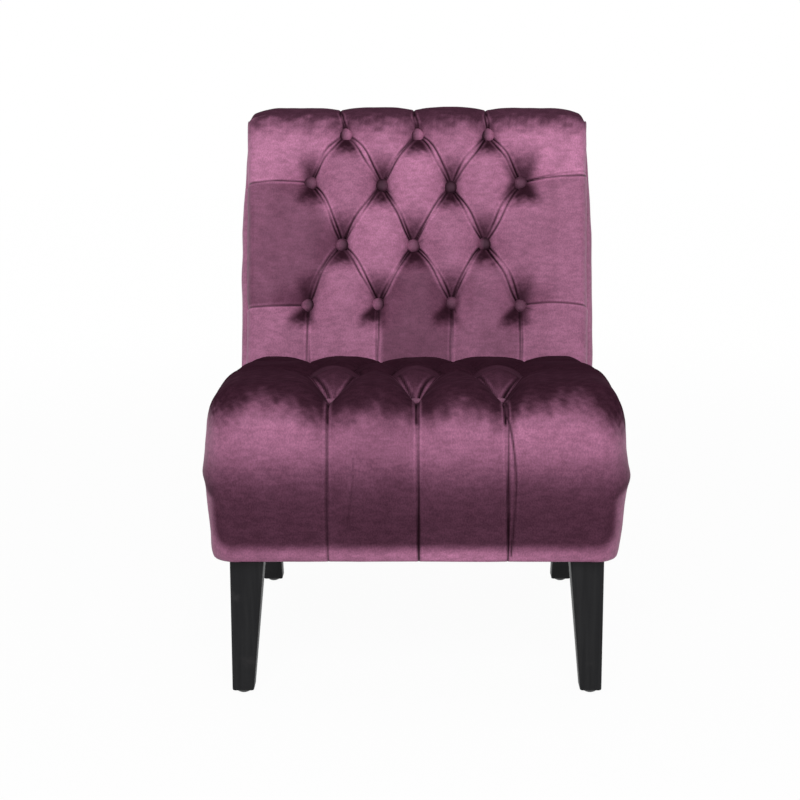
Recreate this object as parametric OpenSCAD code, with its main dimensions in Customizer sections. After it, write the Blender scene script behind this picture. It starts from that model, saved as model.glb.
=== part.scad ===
// Armless slipper chair with a deep buttoned back and seat on four black tapered legs.
// Millimetres. The origin is on the floor, under the middle of the chair. +X is the sitter's
// left, -Y is the front and +Z is up.

/* [Overall] */
// Width across the seat at its widest
chair_w = 580; // [550:1:620]
// Depth from the nose of the seat to the rear of the back's top edge
chair_d = 748; // [720:1:790]
// Height from the floor to the top of the back
chair_h = 791; // [760:1:840]
// Height of the frame's underside above the floor
clear_h = 197; // [170:1:220]

/* [Frame] */
// Width over the side rails
frame_w = 514; // [500:1:524]
// Distance from the seat's nose back to the front rail's face
nose_overhang = 35; // [32:1:40]
// Thickness of the seat rails
rail_t = 22; // [20:1:26]
// Height of the seat rails
rail_h = 65; // [58:1:72]
// Thickness of the back posts
post_t = 24; // [20:1:26]
// Depth of the back posts from front to rear
post_d = 36; // [32:1:38]
// Height of the cross rails in the back
cross_rail_h = 60; // [45:1:65]
// Length of a corner block along each rail
block_leg = 85; // [75:1:95]
// Thickness of the corner blocks
block_t = 30; // [26:1:34]

/* [Legs] */
// Width of a front leg at the top
front_leg_top = 47; // [44:1:52]
// Width of a front leg at the foot
front_leg_foot = 30; // [28:1:34]
// Width of a rear leg
rear_leg_w = 29; // [27:1:31]
// Width of a rear leg at its flared foot
rear_foot_w = 32; // [31:1:34]
// Depth of a rear leg at the top
rear_leg_d = 50; // [46:1:54]
// Depth of a rear leg at the foot
rear_foot_d = 32; // [30:1:36]
// Distance that a rear leg's rear face kicks back on its way down
rear_kick = 14; // [8:1:20]
// Diameter of a glide
glide_d = 21; // [18:1:24]
// Height of a glide
glide_h = 5; // [4:0.5:6]
// Diameter of the hanger bolts
bolt_d = 8; // [6:1:8]
// Length of the hanger bolts
bolt_l = 80; // [70:1:90]

/* [Seat] */
// Height of the seat's crest near its nose
crest_h = 438; // [425:1:450]
// Height of the seat where it meets the back
seat_rear_h = 391; // [380:1:405]
// Distance from the nose back to the first row of tufts
first_tuft = 115; // [105:1:125]
// Depth that a tuft pulls the seat in
seat_tuft = 40; // [30:1:42]
// Distance that the seat's sides draw in from their widest down to the frame
side_draw = 16; // [15:1:27]

/* [Back] */
// Width of the back between its front edges
back_w = 564; // [550:1:570]
// Thickness of the back
back_t = 110; // [104:1:118]
// Angle that the back leans from upright
rake = 13.8; // [11:0.1:16]
// Radius of the top edge at the front
top_r = 34; // [26:1:40]
// Distance that the side bands crown outwards
band_crown = 8; // [3:1:10]
// Depth that a button pulls the back in
back_tuft = 24; // [16:1:25]
// Distance from the back's top to its first row of buttons
first_button = 48; // [38:1:50]
// Distance from the first row of buttons to the second
short_pitch = 84; // [78:1:90]

/* [Tufting] */
// Distance between buttons in a row
tuft_s = 118; // [112:1:122]
// Distance from one row to the next
tuft_p = 100; // [92:1:104]
// Diameter of a covered button
button_d = 22; // [18:1:25]
// Height of a covered button's dome
button_h = 9; // [7:1:12]

/* [Inside] */
// Number of seat springs
spring_count = 5; // [4:1:5]
// Diameter of the spring wire
spring_wire = 3.8; // [3.2:0.1:4.2]
// Width of a spring's loops
spring_loop = 46; // [40:1:50]
// Width of the back webbing
web_w = 50; // [45:1:55]
// Diameter of the tufting twine
twine_d = 2; // [1.5:0.1:2.5]

/* [Hidden] */

// Clearances and small sizes that several pieces share
slip = 0.3;
snug = 0.1;
over = 1;
left = 1;
right = -1;
floor_z = 0;

// Buttons
foot_share = 0.55;
rim_share = 0.35;
button_slip = 0.65;

// Cover
cover_skin = 6;
velvet_t = 3;
wrap_t = 30;
fold_share = 0.5;
seat_reach = 50;
back_reach = 50;
pillow_power = 1.6;
tuft_cells = 8;
edge_cells = 4;
row_cells = 4;
first_row_cells = 3;
last_row_cells = 5;

// Seat block
seat_hw = chair_w / 2;
nose_y = -chair_d / 2;
seat_rx = 45;
seat_ry = 60;
seat_rz = 58;
widest_share = 0.48;
front_draw = 26;
draw_power = 2.4;
side_rows_share = [0, 0.12, 0.26, 0.48, 0.72, 0.9, 1];
pleat_end = 4;
rear_pleat_end = 9;
side_pleat = 26;
near_power = 4;
seat_counts = [3, 4, 3, 4];

// Back slab, in its own frame: x across, y out of the rear face, z up along the rake
back_rx = 14;
back_ry = 30;
top_reach = norm([back_ry * sin(rake), top_r * cos(rake)]);
back_l = (chair_h - clear_h - (back_t - back_ry) * sin(rake) - top_reach) / cos(rake) + top_r;
back_y = chair_d / 2 - back_l * sin(rake);
back_hw = back_w / 2;
tuck_w = 100;
corner_run = 42;
corner_drop = 12;
top_pull_share = 0.7;
back_side_pleat_end = 5;
back_counts = [3, 4, 3, 4];
top_rows_share = [0, 0.18, 0.36, 0.6, 0.8, 1];

// Frame
frame_hw = frame_w / 2;
frame_front = nose_y + nose_overhang;
rail_top = clear_h + rail_h;
wrap_rear = velvet_t + slip;
frame_rear = back_y - wrap_rear / cos(rake);
post_back = wrap_rear + slip;
post_top = back_l - wrap_t - slip;
lap_t = post_t / 2;
web_t = 1.6;
screw_d = 4;
screw_head_d = 8;
screw_head_h = 3;
screw_l = 50;
lap_screw_l = 21;
lap_screw_share = [0.3, 0.7];
lap_screw_room = 8;
cross_screw_share = [0.25, 0.75];
upright_web_share = [-0.75, -0.25, 0.25, 0.75];
level_web_share = [0.25, 0.5, 0.75];

// Legs and their fixings
front_bolt_inset = 34;
rear_leg_out = 1;
rear_leg_back = 27;
nut_d = 19;
nut_t = 1.5;
nut_barrel_d = 10;
nut_barrel_l = 9;
insert_d = 12;
insert_l = 20;
nail_d = 2.2;
nail_l = 15;
glide_flat_d = 12;
shoulder_d_share = 0.42;
shoulder_h_share = 0.3;
rim_h_share = 0.75;
flare_power = 4;
leg_curve_steps = 8;

// Seat inside
pad_t = 3.5;
spring_inset = 11;
spring_steps = 13;
clip_w = 16;
clip_t = 1.2;
clip_l = 14;
spring_z = rail_top + clip_t + snug;
pad_z = spring_z + spring_wire + clip_t + snug + slip;
foam_z = pad_z + pad_t + slip;
foam_front = 22;
foam_side = 13;
foam_bevel = 18;
tie_bore = 3;
dust_t = 0.9;
dust_inset = 5;

// Small functions
function clamp(v, lo, hi) = min(max(v, lo), hi);
function flip(v) = [for (i = [len(v) - 1 : -1 : 0]) v[i]];
function row_x(n) = [for (k = [0 : n - 1]) (k - (n - 1) / 2) * tuft_s];

// Height of the seat's unbuttoned top at a distance y from front to back
seat_join_y = back_y + ((seat_rear_h - clear_h) * sin(rake) - back_t) / cos(rake);
crest_y = nose_y + first_tuft + tuft_s / 2;
function seat_top(y) =
    crest_h - (crest_h - seat_rear_h) * clamp((y - crest_y) / (seat_join_y - crest_y), 0, 1);
// The back's front face at a height z
function back_face(z) = back_y + ((z - clear_h) * sin(rake) - back_t) / cos(rake);

// Folds. Each is [start, end, depth at start, depth between, depth at end, reach]
function diamond_folds(vs, counts, deep, reach) =
    [for (i = [0 : len(vs) - 2]) for (a = row_x(counts[i])) for (b = row_x(counts[i + 1]))
        if (abs(a - b) < tuft_s) [[a, vs[i]], [b, vs[i + 1]], deep, deep * fold_share, deep, reach]];
function straight_folds(n, v0, v1, deep, shallow, reach) =
    [for (a = row_x(n)) [[a, v0], [a, v1], deep, shallow, shallow, reach]];
function side_folds(vs, u1, deep, shallow, reach) =
    [for (v = vs) for (s = [-1, 1])
        [[s * tuft_s * 1.5, v], [s * u1, v], deep, deep * fold_share, shallow, reach]];
function fold_depth(p, f) =
    let (ab = f[1] - f[0],
         t = clamp((p - f[0]) * ab / (ab * ab), 0, 1),
         gap = norm(p - f[0] - t * ab),
         deep = f[2] * (1 - t) * (1 - t) + 2 * f[3] * t * (1 - t) + f[4] * t * t)
    deep * pow(max(0, 1 - gap / f[5]), pillow_power);
function pulled(p, folds) = max([for (f = folds) fold_depth(p, f)]);

// Stations of the grids across and along
function half_columns(hw) = concat(
    [for (k = [0 : 1.5 * tuft_cells]) k * tuft_s / tuft_cells],
    [for (k = [1 : edge_cells]) 1.5 * tuft_s + k * (hw - 1.5 * tuft_s) / edge_cells]);
function columns(hw) = let (h = half_columns(hw))
    concat([for (k = [len(h) - 1 : -1 : 1]) -h[k]], h);
function between(a, b, n) = [for (k = [1 : n]) a + k * (b - a) / n];

// Seat: rows of tufts at 3, 4, 3 and 4 across
last_row = len(seat_counts) - 1;
seat_rows = [for (i = [0 : last_row]) nose_y + first_tuft + i * tuft_p];
seat_h = crest_h - clear_h;
seat_folds = concat(
    diamond_folds(seat_rows, seat_counts, seat_tuft, seat_reach),
    straight_folds(seat_counts[0], seat_rows[0], nose_y - seat_h, seat_tuft, pleat_end, seat_reach),
    side_folds([seat_rows[1], seat_rows[last_row]], seat_hw + seat_h, side_pleat, pleat_end, seat_reach),
    straight_folds(seat_counts[last_row], seat_rows[last_row], seat_join_y, seat_tuft, rear_pleat_end,
                   seat_reach));
seat_vs = concat([nose_y], between(nose_y, seat_rows[0], row_cells),
                 between(seat_rows[0], seat_rows[last_row], last_row * row_cells),
                 between(seat_rows[last_row], seat_join_y, row_cells));

// A point of the seat's skin and how deep it is pulled, from a point of its plain box and the
// same point on the box unfolded about its top
function seat_point(x, y, z, u, v) =
    let (c = [clamp(x, -seat_hw + seat_rx, seat_hw - seat_rx), max(y, nose_y + seat_ry),
              min(z, crest_h - seat_rz)],
         q = [(x - c[0]) / seat_rx, (y - c[1]) / seat_ry, (z - c[2]) / seat_rz],
         n = q / norm(q),
         e = [c[0] + seat_rx * n[0], c[1] + seat_ry * n[1], c[2] + seat_rz * n[2]],
         deep = pulled([u, v], seat_folds),
         lift = (seat_top(e[1]) - clear_h) / seat_h,
         p = [e[0], e[1], clear_h + (e[2] - clear_h) * lift] - deep * n,
         low = max(0, 1 - (p[2] - clear_h) / (seat_h * widest_share)),
         near = max(0, 1 - (p[1] - nose_y) / (seat_join_y - nose_y)),
         far = (y - nose_y) / (seat_join_y - nose_y),
         px = p[0] * (1 - side_draw / seat_hw * pow(low, draw_power)),
         py = p[1] + front_draw * pow(low, draw_power) * pow(near, near_power)
              + far * (back_face(p[2]) - slip - seat_join_y))
    [[px, py, p[2]], deep];

seat_cols = columns(seat_hw);
seat_drop = [for (s = side_rows_share) s * seat_h];
seat_top_patch = [for (v = seat_vs) [for (u = seat_cols) seat_point(u, v, crest_h, u, v)]];
seat_front_patch =
    [for (d = flip(seat_drop)) [for (u = seat_cols) seat_point(u, nose_y, crest_h - d, u, nose_y - d)]];
function seat_side_patch(s) =
    [for (v = seat_vs) [for (d = seat_drop)
        seat_point(s * seat_hw, v, crest_h - d, s * (seat_hw + d), v)]];

// Back: rows of buttons at 3, 4, 3 and 4 across, measured down from the top edge
back_rows = [first_button, first_button + short_pitch, first_button + short_pitch + tuft_p,
             first_button + short_pitch + 2 * tuft_p];
back_folds = concat(
    diamond_folds(back_rows, back_counts, back_tuft, back_reach),
    straight_folds(back_counts[0], back_rows[0], -back_t, back_tuft * top_pull_share, pleat_end,
                   back_reach),
    side_folds([back_rows[1], back_rows[last_row]], back_hw + back_t, back_tuft, back_side_pleat_end,
               back_reach),
    straight_folds(back_counts[last_row], back_rows[last_row], back_l - tuck_w, back_tuft, pleat_end,
                   back_reach));
back_vs = concat([0], between(0, back_rows[0], first_row_cells),
                 between(back_rows[0], back_rows[1], row_cells),
                 between(back_rows[1], back_rows[last_row], (last_row - 1) * row_cells),
                 between(back_rows[last_row], back_l - tuck_w, last_row_cells));

// A point of the back's skin: x across, v down from the top edge, h out from the rear face
function back_point(x, v, h, u, w) =
    let (c = [clamp(x, -back_hw + back_rx, back_hw - back_rx), max(v, top_r), min(h, back_t - back_ry)],
         q = [(x - c[0]) / back_rx, (v - c[1]) / top_r, (h - c[2]) / back_ry],
         n = q / norm(q),
         deep = pulled([u, w], back_folds),
         p = [c[0] + back_rx * n[0], c[1] + top_r * n[1], c[2] + back_ry * n[2]] - deep * n,
         side = max(0, abs(p[0]) - back_hw + corner_run) / corner_run,
         high = max(0, 1 - v / (2 * top_r)))
    [raked([p[0], -p[2], back_l - p[1] - corner_drop * pow(side, 2) * high]), deep];
// A point in the back's own frame, carried to its place on the chair
function raked(p) = [p[0], back_y + p[1] * cos(rake) + p[2] * sin(rake),
                     clear_h - p[1] * sin(rake) + p[2] * cos(rake)];

back_cols = columns(back_hw);
back_drop = [for (s = top_rows_share) s * back_t];
back_front_patch = [for (v = back_vs) [for (u = back_cols) back_point(u, v, back_t, u, v)]];
back_top_patch =
    [for (d = flip(back_drop)) [for (u = back_cols) back_point(u, 0, back_t - d, u, -d)]];
function back_side_patch(s) =
    [for (v = back_vs) [for (d = back_drop)
        back_point(s * back_hw, v, back_t - d, s * (back_hw + d), v)]];

// Two triangles for each cell of a patch, split along its deeper diagonal
function patch_faces(patch, start, turned) =
    let (n = len(patch[0]))
    [for (j = [0 : len(patch) - 2]) for (i = [0 : n - 2])
        let (a = start + j * n + i, b = a + 1, c = b + n, d = a + n,
             pair = patch[j][i][1] + patch[j + 1][i + 1][1] >= patch[j][i + 1][1] + patch[j + 1][i][1]
                    ? [[a, b, c], [a, c, d]] : [[a, b, d], [b, c, d]])
        for (f = pair) turned ? flip(f) : f];
function patch_points(patch) = [for (row = patch) for (cell = row) cell[0]];

// A closed block from its main face, the face over its front edge and its two sides. The two
// open ends are closed with a fan of triangles each. A block whose main face runs downwards has
// its faces turned.
module tufted_block(main, nose, side_a, side_b, downwards = false) {
    nm = len(main) * len(main[0]);
    nn = len(nose) * len(nose[0]);
    ns = len(side_a) * len(side_a[0]);
    cols = len(main[0]);
    rows = len(side_a);
    drops = len(side_a[0]);
    at_nose = nm;
    at_a = nm + nn;
    at_b = nm + nn + ns;
    last = at_b + ns;
    under = concat(
        [for (j = [rows - 1 : -1 : 0]) at_a + j * drops + drops - 1],
        [for (i = [1 : cols - 1]) at_nose + i],
        [for (j = [1 : rows - 1]) at_b + j * drops + drops - 1]);
    rear = concat(
        [for (d = [drops - 1 : -1 : 0]) at_a + (rows - 1) * drops + d],
        [for (i = [1 : cols - 1]) nm - cols + i],
        [for (d = [1 : drops - 1]) at_b + (rows - 1) * drops + d]);
    points = concat(patch_points(main), patch_points(nose), patch_points(side_a), patch_points(side_b));
    low_mid = (points[under[0]] + points[under[len(under) - 1]]) / 2;
    mid_under = (low_mid + points[at_nose + (cols - 1) / 2]) / 2;
    mid_rear = (low_mid + points[nm - (cols + 1) / 2]) / 2;
    faces = concat(
        patch_faces(main, 0, true), patch_faces(nose, at_nose, true),
        patch_faces(side_a, at_a, false), patch_faces(side_b, at_b, true),
        [for (k = [0 : len(under) - 1]) [under[k], under[(k + 1) % len(under)], last]],
        [for (k = [0 : len(rear) - 1]) [rear[(k + 1) % len(rear)], rear[k], last + 1]]);
    polyhedron(
        points = concat(points, [mid_under, mid_rear]),
        faces = downwards ? [for (f = faces) flip(f)] : faces,
        convexity = 8);
}

// Carries a piece modelled in the back's own frame to its place on the chair
module on_back() {
    translate([0, back_y, clear_h])
        rotate([-rake, 0, 0])
            children();
}

// Extrudes an outline drawn in y and z across x, from x0 to x1
module across(x0, x1) {
    translate([x0, 0, 0])
        rotate([90, 0, 90])
            linear_extrude(height = x1 - x0)
                children();
}

// The part of space above the floor side of the frame
module above_frame() {
    translate([-chair_w, -chair_d, clear_h])
        cube([2 * chair_w, 2 * chair_d, 2 * chair_h]);
}

// Places of the legs, bolts and screws
front_leg_x = frame_hw - front_leg_top;
front_bolt = [frame_hw - front_bolt_inset, frame_front + front_bolt_inset];
rear_leg_x = frame_hw + rear_leg_out - rear_leg_w;
rear_leg_y = frame_rear - rear_leg_back;
rear_bolt = [frame_hw - rail_t / 2, rear_leg_y - rear_leg_d / 2 + bolt_d / 2];
leg_h = clear_h - glide_h - slip;
front_foot = [frame_hw - front_leg_foot / 2, frame_front + front_leg_foot / 2];
rear_foot = [rear_leg_x + rear_leg_w / 2, rear_leg_y + rear_kick - rear_foot_d / 2];
rail_in = frame_hw - rail_t;
cross_x = frame_hw - post_t - snug;

// Front leg: its outer and front faces are upright and the other two taper
module front_leg(s) {
    color("#262628")
    difference() {
        intersection() {
            across(-frame_hw, frame_hw)
                polygon([[frame_front, clear_h - leg_h], [frame_front, clear_h],
                         [frame_front + front_leg_top, clear_h],
                         [frame_front + front_leg_foot, clear_h - leg_h]]);
            translate([0, frame_front + front_leg_top, 0])
                rotate([90, 0, 0])
                    linear_extrude(height = front_leg_top)
                        polygon([[s * frame_hw, clear_h - leg_h], [s * frame_hw, clear_h],
                                 [s * front_leg_x, clear_h],
                                 [s * (frame_hw - front_leg_foot), clear_h - leg_h]]);
        }
        at_bolt(front_bolt, s, bolt_d + 2 * snug);
        at_nail(front_foot, s, nail_d + 2 * snug);
    }
}

// Rear leg: a board cut to a curve that kicks back, with a foot that flares sideways
module rear_leg(s) {
    steps = [for (k = [0 : leg_curve_steps]) k / leg_curve_steps];
    color("#262628")
    difference() {
        intersection() {
            across(-frame_hw - rear_leg_out - rear_foot_w, frame_hw + rear_leg_out + rear_foot_w)
                polygon(concat(
                    [for (t = steps) [rear_leg_y + rear_kick * (1 - t) * (1 - t),
                                      clear_h - leg_h + leg_h * t]],
                    [for (t = flip(steps))
                        [rear_leg_y + rear_kick * (1 - t) * (1 - t) - rear_foot_d
                         - (rear_leg_d - rear_foot_d) * t, clear_h - leg_h + leg_h * t]]));
            translate([s * rear_foot[0], rear_leg_y + rear_leg_d, 0])
                rotate([90, 0, 0])
                    linear_extrude(height = 2 * rear_leg_d + rear_foot_d)
                        polygon(concat(
                            [for (t = steps) [foot_half(t), clear_h - leg_h + leg_h * t]],
                            [for (t = flip(steps)) [-foot_half(t), clear_h - leg_h + leg_h * t]]));
        }
        at_bolt(rear_bolt, s, bolt_d + 2 * snug);
        at_nail(rear_foot, s, nail_d + 2 * snug);
    }
}
function foot_half(t) = (rear_leg_w + (rear_foot_w - rear_leg_w) * pow(1 - t, flare_power)) / 2;

module at_bolt(p, s, d) {
    translate([s * p[0], p[1], clear_h - bolt_l / 2])
        cylinder(h = bolt_l, d = d, $fn = 32);
}
module at_nail(p, s, d) {
    translate([s * p[0], p[1], glide_h - snug])
        cylinder(h = nail_l + slip, d = d, $fn = 24);
}

// Domed glide with the nail that holds it under the leg
module glide(p, s) {
    color("#1c1c1e")
    translate([s * p[0], p[1], floor_z]) {
        rotate_extrude($fn = 48)
            polygon([[0, 0], [glide_flat_d / 2, 0],
                     [glide_d * shoulder_d_share, glide_h * shoulder_h_share],
                     [glide_d / 2, glide_h * rim_h_share], [glide_d / 2, glide_h],
                     [nail_d / 2, glide_h],
                     [nail_d / 2, glide_h + nail_l - nail_d], [0, glide_h + nail_l]]);
    }
}

module hanger_bolts() {
    color("silver")
    for (s = [left, right]) {
        at_bolt(front_bolt, s, bolt_d);
        at_bolt(rear_bolt, s, bolt_d);
    }
}

// Nuts on top of the front corner blocks, each with a barrel let into the block
module tee_nuts() {
    color("silver")
    for (s = [left, right])
        translate([s * front_bolt[0], front_bolt[1], clear_h + block_t]) {
            difference() {
                union() {
                    cylinder(h = nut_t, d = nut_d, $fn = 48);
                    translate([0, 0, -nut_barrel_l])
                        cylinder(h = nut_barrel_l + nut_t, d = nut_barrel_d, $fn = 48);
                }
                translate([0, 0, -nut_barrel_l - over])
                    cylinder(h = nut_barrel_l + nut_t + 2 * over, d = bolt_d + 2 * snug, $fn = 48);
            }
        }
}

// Inserts let into the underside of the side rails for the rear legs' bolts
module threaded_inserts() {
    color("goldenrod")
    for (s = [left, right])
        translate([s * rear_bolt[0], rear_bolt[1], clear_h])
            difference() {
                cylinder(h = insert_l, d = insert_d, $fn = 48);
                translate([0, 0, -over])
                    cylinder(h = insert_l + 2 * over, d = bolt_d + 2 * snug, $fn = 48);
            }
}

// Front rail, between the side rails
module front_rail() {
    color("burlywood")
    translate([-rail_in + snug, frame_front, clear_h])
        cube([2 * (rail_in - snug), rail_t, rail_h]);
}

// Rear rail, between the side rails
module rear_rail() {
    color("burlywood")
    translate([-rail_in + snug, frame_rear - rail_t, clear_h])
        cube([2 * (rail_in - snug), rail_t, rail_h]);
}

// Side rail, halved at the rear where the post is let into its outer face
module side_rail(s) {
    x0 = s > 0 ? rail_in : -frame_hw;
    color("burlywood")
    difference() {
        translate([x0, frame_front, clear_h])
            cube([rail_t, frame_rear - frame_front, rail_h]);
        post_slot(s);
        translate([s * rear_bolt[0], rear_bolt[1], clear_h - over])
            cylinder(h = insert_l + over, d = insert_d + 2 * snug, $fn = 48);
        at_bolt(rear_bolt, s, bolt_d + 4 * snug);
        for (p = lap_screws())
            lap_screw(p, s, 2 * snug);
    }
}

// The room that a post takes out of the side rail's outer face
module post_slot(s) {
    x0 = s > 0 ? frame_hw - lap_t - snug : -frame_hw - over;
    on_back()
        translate([x0, -post_back - post_d - snug, -back_t])
            cube([lap_t + snug + over, post_d + 2 * snug, back_l]);
}

// Back post: halved below the rail's top so that its outer face stays in line with the rail
module back_post(s) {
    x0 = s > 0 ? frame_hw - post_t : -frame_hw;
    inner = s > 0 ? frame_hw - post_t - over : -frame_hw + lap_t;
    color("burlywood")
    difference() {
        intersection() {
            on_back()
                translate([x0, -post_back - post_d, -back_t])
                    cube([post_t, post_d, post_top + back_t]);
            above_frame();
        }
        translate([inner, 0, clear_h - over])
            cube([post_t - lap_t + over, chair_d, rail_h + over + snug]);
        for (p = lap_screws())
            lap_screw(p, s, 2 * snug);
        for (w = cross_screws())
            cross_screw(w, s, 2 * snug);
    }
}

// Screws driven from inside the side rail into the halved post: y and z of each
function lap_screws() = [for (k = lap_screw_share)
    [back_face(clear_h + rail_h * k) + (back_t - post_back - post_d / 2) / cos(rake),
     clear_h + rail_h * k]];
module lap_screw(p, s, extra) {
    translate([s * rail_in, p[0], p[1]])
        rotate([0, s * 90, 0]) {
            cylinder(h = lap_screw_l - over, d = screw_d + extra, $fn = 24);
            cylinder(h = screw_head_h, d = screw_head_d + extra, $fn = 24);
        }
}

// Cross rails of the back: the height along the rake at which each starts
tuck_rail_w = tuck_w - slip;
middle_rail_w = (tuck_rail_w + post_top - cross_rail_h) / 2;
top_rail_w = post_top - cross_rail_h;
function cross_screws() = [for (w = [tuck_rail_w, middle_rail_w, top_rail_w])
    for (k = cross_screw_share) w + k * cross_rail_h];
module cross_rail(w0) {
    color("burlywood")
    difference() {
        on_back()
            translate([-cross_x, -post_back - post_d, w0])
                cube([2 * cross_x, rail_t, cross_rail_h]);
        for (s = [left, right])
            for (w = cross_screws())
                cross_screw(w, s, 2 * snug);
    }
}
module cross_screw(w, s, extra) {
    on_back()
        translate([s * frame_hw, -post_back - post_d + rail_t / 2, w])
            rotate([0, -s * 90, 0]) {
                cylinder(h = screw_l, d = screw_d + extra, $fn = 24);
                cylinder(h = screw_head_h, d = screw_head_d + extra, $fn = 24);
            }
}

module frame_screws() {
    color("dimgray")
    for (s = [left, right]) {
        for (p = lap_screws())
            lap_screw(p, s, 0);
        for (w = cross_screws())
            cross_screw(w, s, 0);
    }
}

// A three-cornered block in the corner between a side rail and an end rail
module corner_block(s, y, way) {
    translate([s * (rail_in - snug), y + way * snug, clear_h])
        linear_extrude(height = block_t)
            polygon([[0, 0], [-s * block_leg, 0], [-s * block_leg, way * rail_t / 2],
                     [-s * rail_t / 2, way * block_leg], [0, way * block_leg]]);
}
module front_corner_blocks() {
    color("tan")
    difference() {
        for (s = [left, right])
            corner_block(s, frame_front + rail_t, 1);
        for (s = [left, right]) {
            at_bolt(front_bolt, s, bolt_d + 4 * snug);
            translate([s * front_bolt[0], front_bolt[1], clear_h + block_t - nut_barrel_l - snug])
                cylinder(h = nut_barrel_l + over, d = nut_barrel_d + 2 * snug, $fn = 48);
        }
    }
}
module rear_corner_blocks() {
    color("tan")
    difference() {
        for (s = [left, right])
            corner_block(s, frame_rear - rail_t, -1);
        for (s = [left, right])
            for (p = lap_screws())
                lap_screw(p, s, lap_screw_room);
    }
}

// Seat springs: one wire each, bent back and forth across its line, from the front rail to the
// rear rail
spring_len = frame_rear - frame_front - 2 * spring_inset;
spring_gap = (2 * rail_in - 2 * spring_inset) / spring_count;
function spring_x(k) = (k - (spring_count - 1) / 2) * spring_gap;
module seat_springs() {
    pitch = spring_len / spring_steps;
    bend = pitch / 2;
    arm = spring_loop / 2 - bend;
    color("#8d9096")
    for (k = [0 : spring_count - 1])
        translate([spring_x(k), frame_front + spring_inset, spring_z])
            linear_extrude(height = spring_wire)
                for (j = [0 : spring_steps])
                    translate([0, j * pitch, 0]) {
                        translate([-arm, -spring_wire / 2])
                            square([2 * arm, spring_wire]);
                        if (j < spring_steps)
                            translate([(j % 2 == 0 ? 1 : -1) * arm, bend])
                                half_ring(bend, j % 2 == 0 ? 1 : -1);
                    }
}
module half_ring(r, way) {
    intersection() {
        difference() {
            circle(r = r + spring_wire / 2, $fn = 32);
            circle(r = r - spring_wire / 2, $fn = 32);
        }
        translate([way > 0 ? 0 : -2 * r, -2 * r])
            square([2 * r, 4 * r]);
    }
}

// Clips that hold the ends of the springs on the front and rear rails
module spring_clips() {
    inside = spring_wire + 2 * snug;
    color("#6f7276")
    for (k = [0 : spring_count - 1])
        for (y = [frame_front + spring_inset, frame_rear - spring_inset])
            translate([spring_x(k) - clip_w / 2, y - clip_l / 2, rail_top])
                difference() {
                    cube([clip_w, clip_l, inside + 2 * clip_t]);
                    translate([-over, clip_l / 2 - inside / 2, clip_t])
                        cube([clip_w + 2 * over, clip_l, inside]);
                }
}

// Felt pad over the springs
module seat_deck_pad() {
    color("#8a8378")
    translate([-rail_in, frame_front, pad_z])
        cube([2 * rail_in, back_face(pad_z) - slip - frame_front, pad_t]);
}

// Side view of the seat's foam, grown by a gap for the hollow that holds it
foam_deep = seat_tuft + cover_skin;
module foam_outline(gap) {
    y0 = nose_y + foam_front - gap;
    y1 = seat_join_y;
    polygon([[y0, foam_z - gap], [y0, seat_top(y0) - foam_deep - foam_bevel + gap],
             [y0 + foam_bevel, seat_top(y0) - foam_deep + gap], [crest_y, crest_h - foam_deep + gap],
             [y1, seat_top(y1) - foam_deep + gap], [y1 + back_t, seat_top(y1) - foam_deep + gap],
             [y1 + back_t, foam_z - gap]]);
}
foam_x = frame_hw + foam_side;
module before_back(gap) {
    on_back()
        translate([-chair_w, -back_t - gap - chair_d, -chair_h])
            cube([2 * chair_w, chair_d, 3 * chair_h]);
}
module seat_foam() {
    color("#e9dfb4")
    difference() {
        intersection() {
            across(-foam_x, foam_x)
                foam_outline(0);
            before_back(slip);
        }
        for (p = seat_ties())
            translate([p[0], p[1], clear_h])
                cylinder(h = crest_h, d = tie_bore, $fn = 24);
    }
}

// The velvet seat cover with its wadding: tufted outside, hollow inside for the foam and frame
module seat_cover() {
    color("#8f5878")
    difference() {
        tufted_block(seat_top_patch, seat_front_patch, seat_side_patch(-1), seat_side_patch(1));
        across(-foam_x - slip, foam_x + slip)
            foam_outline(slip);
        translate([-frame_hw - slip, frame_front - slip, clear_h - over])
            cube([2 * (frame_hw + slip), chair_d, foam_z - clear_h + over]);
    }
}

function seat_ties() = [for (i = [0 : last_row]) for (x = row_x(seat_counts[i])) [x, seat_rows[i]]];
// The middle of a tuft's hollow on the seat
function hollow(p) = seat_point(p[0], p[1], crest_h, p[0], p[1])[0];

// A covered button, a dome that stands on z = 0
module button() {
    rotate_extrude($fn = 48)
        polygon(concat([[0, 0], [button_d * foot_share / 2, 0]],
                       [for (a = [0 : 15 : 90]) [button_d / 2 * cos(a),
                            button_h * rim_share + button_h * (1 - rim_share) * sin(a)]]));
}
// How far a button stands above the middle of its hollow, so that its rim rests on the walls
function wall_slope(deep, reach) =
    deep * (1 - pow(1 - tuft_s / tuft_cells / reach, pillow_power)) / (tuft_s / tuft_cells);
function seat_on_walls(deep, reach) =
    max(button_d / 2 * foot_share * wall_slope(deep, reach),
        button_d / 2 * wall_slope(deep, reach) - button_h * rim_share) + button_slip;
module seat_buttons() {
    color("#6d4058")
    for (p = seat_ties())
        translate(hollow(p) + [0, 0, seat_on_walls(seat_tuft, seat_reach)])
            button();
}
module seat_button_ties() {
    color("#e8e4da")
    for (p = seat_ties())
        translate([p[0], p[1], foam_z + slip]) {
            cylinder(h = seat_top(p[1]) - foam_deep - foam_z - slip, d = twine_d, $fn = 16);
        }
}

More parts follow.
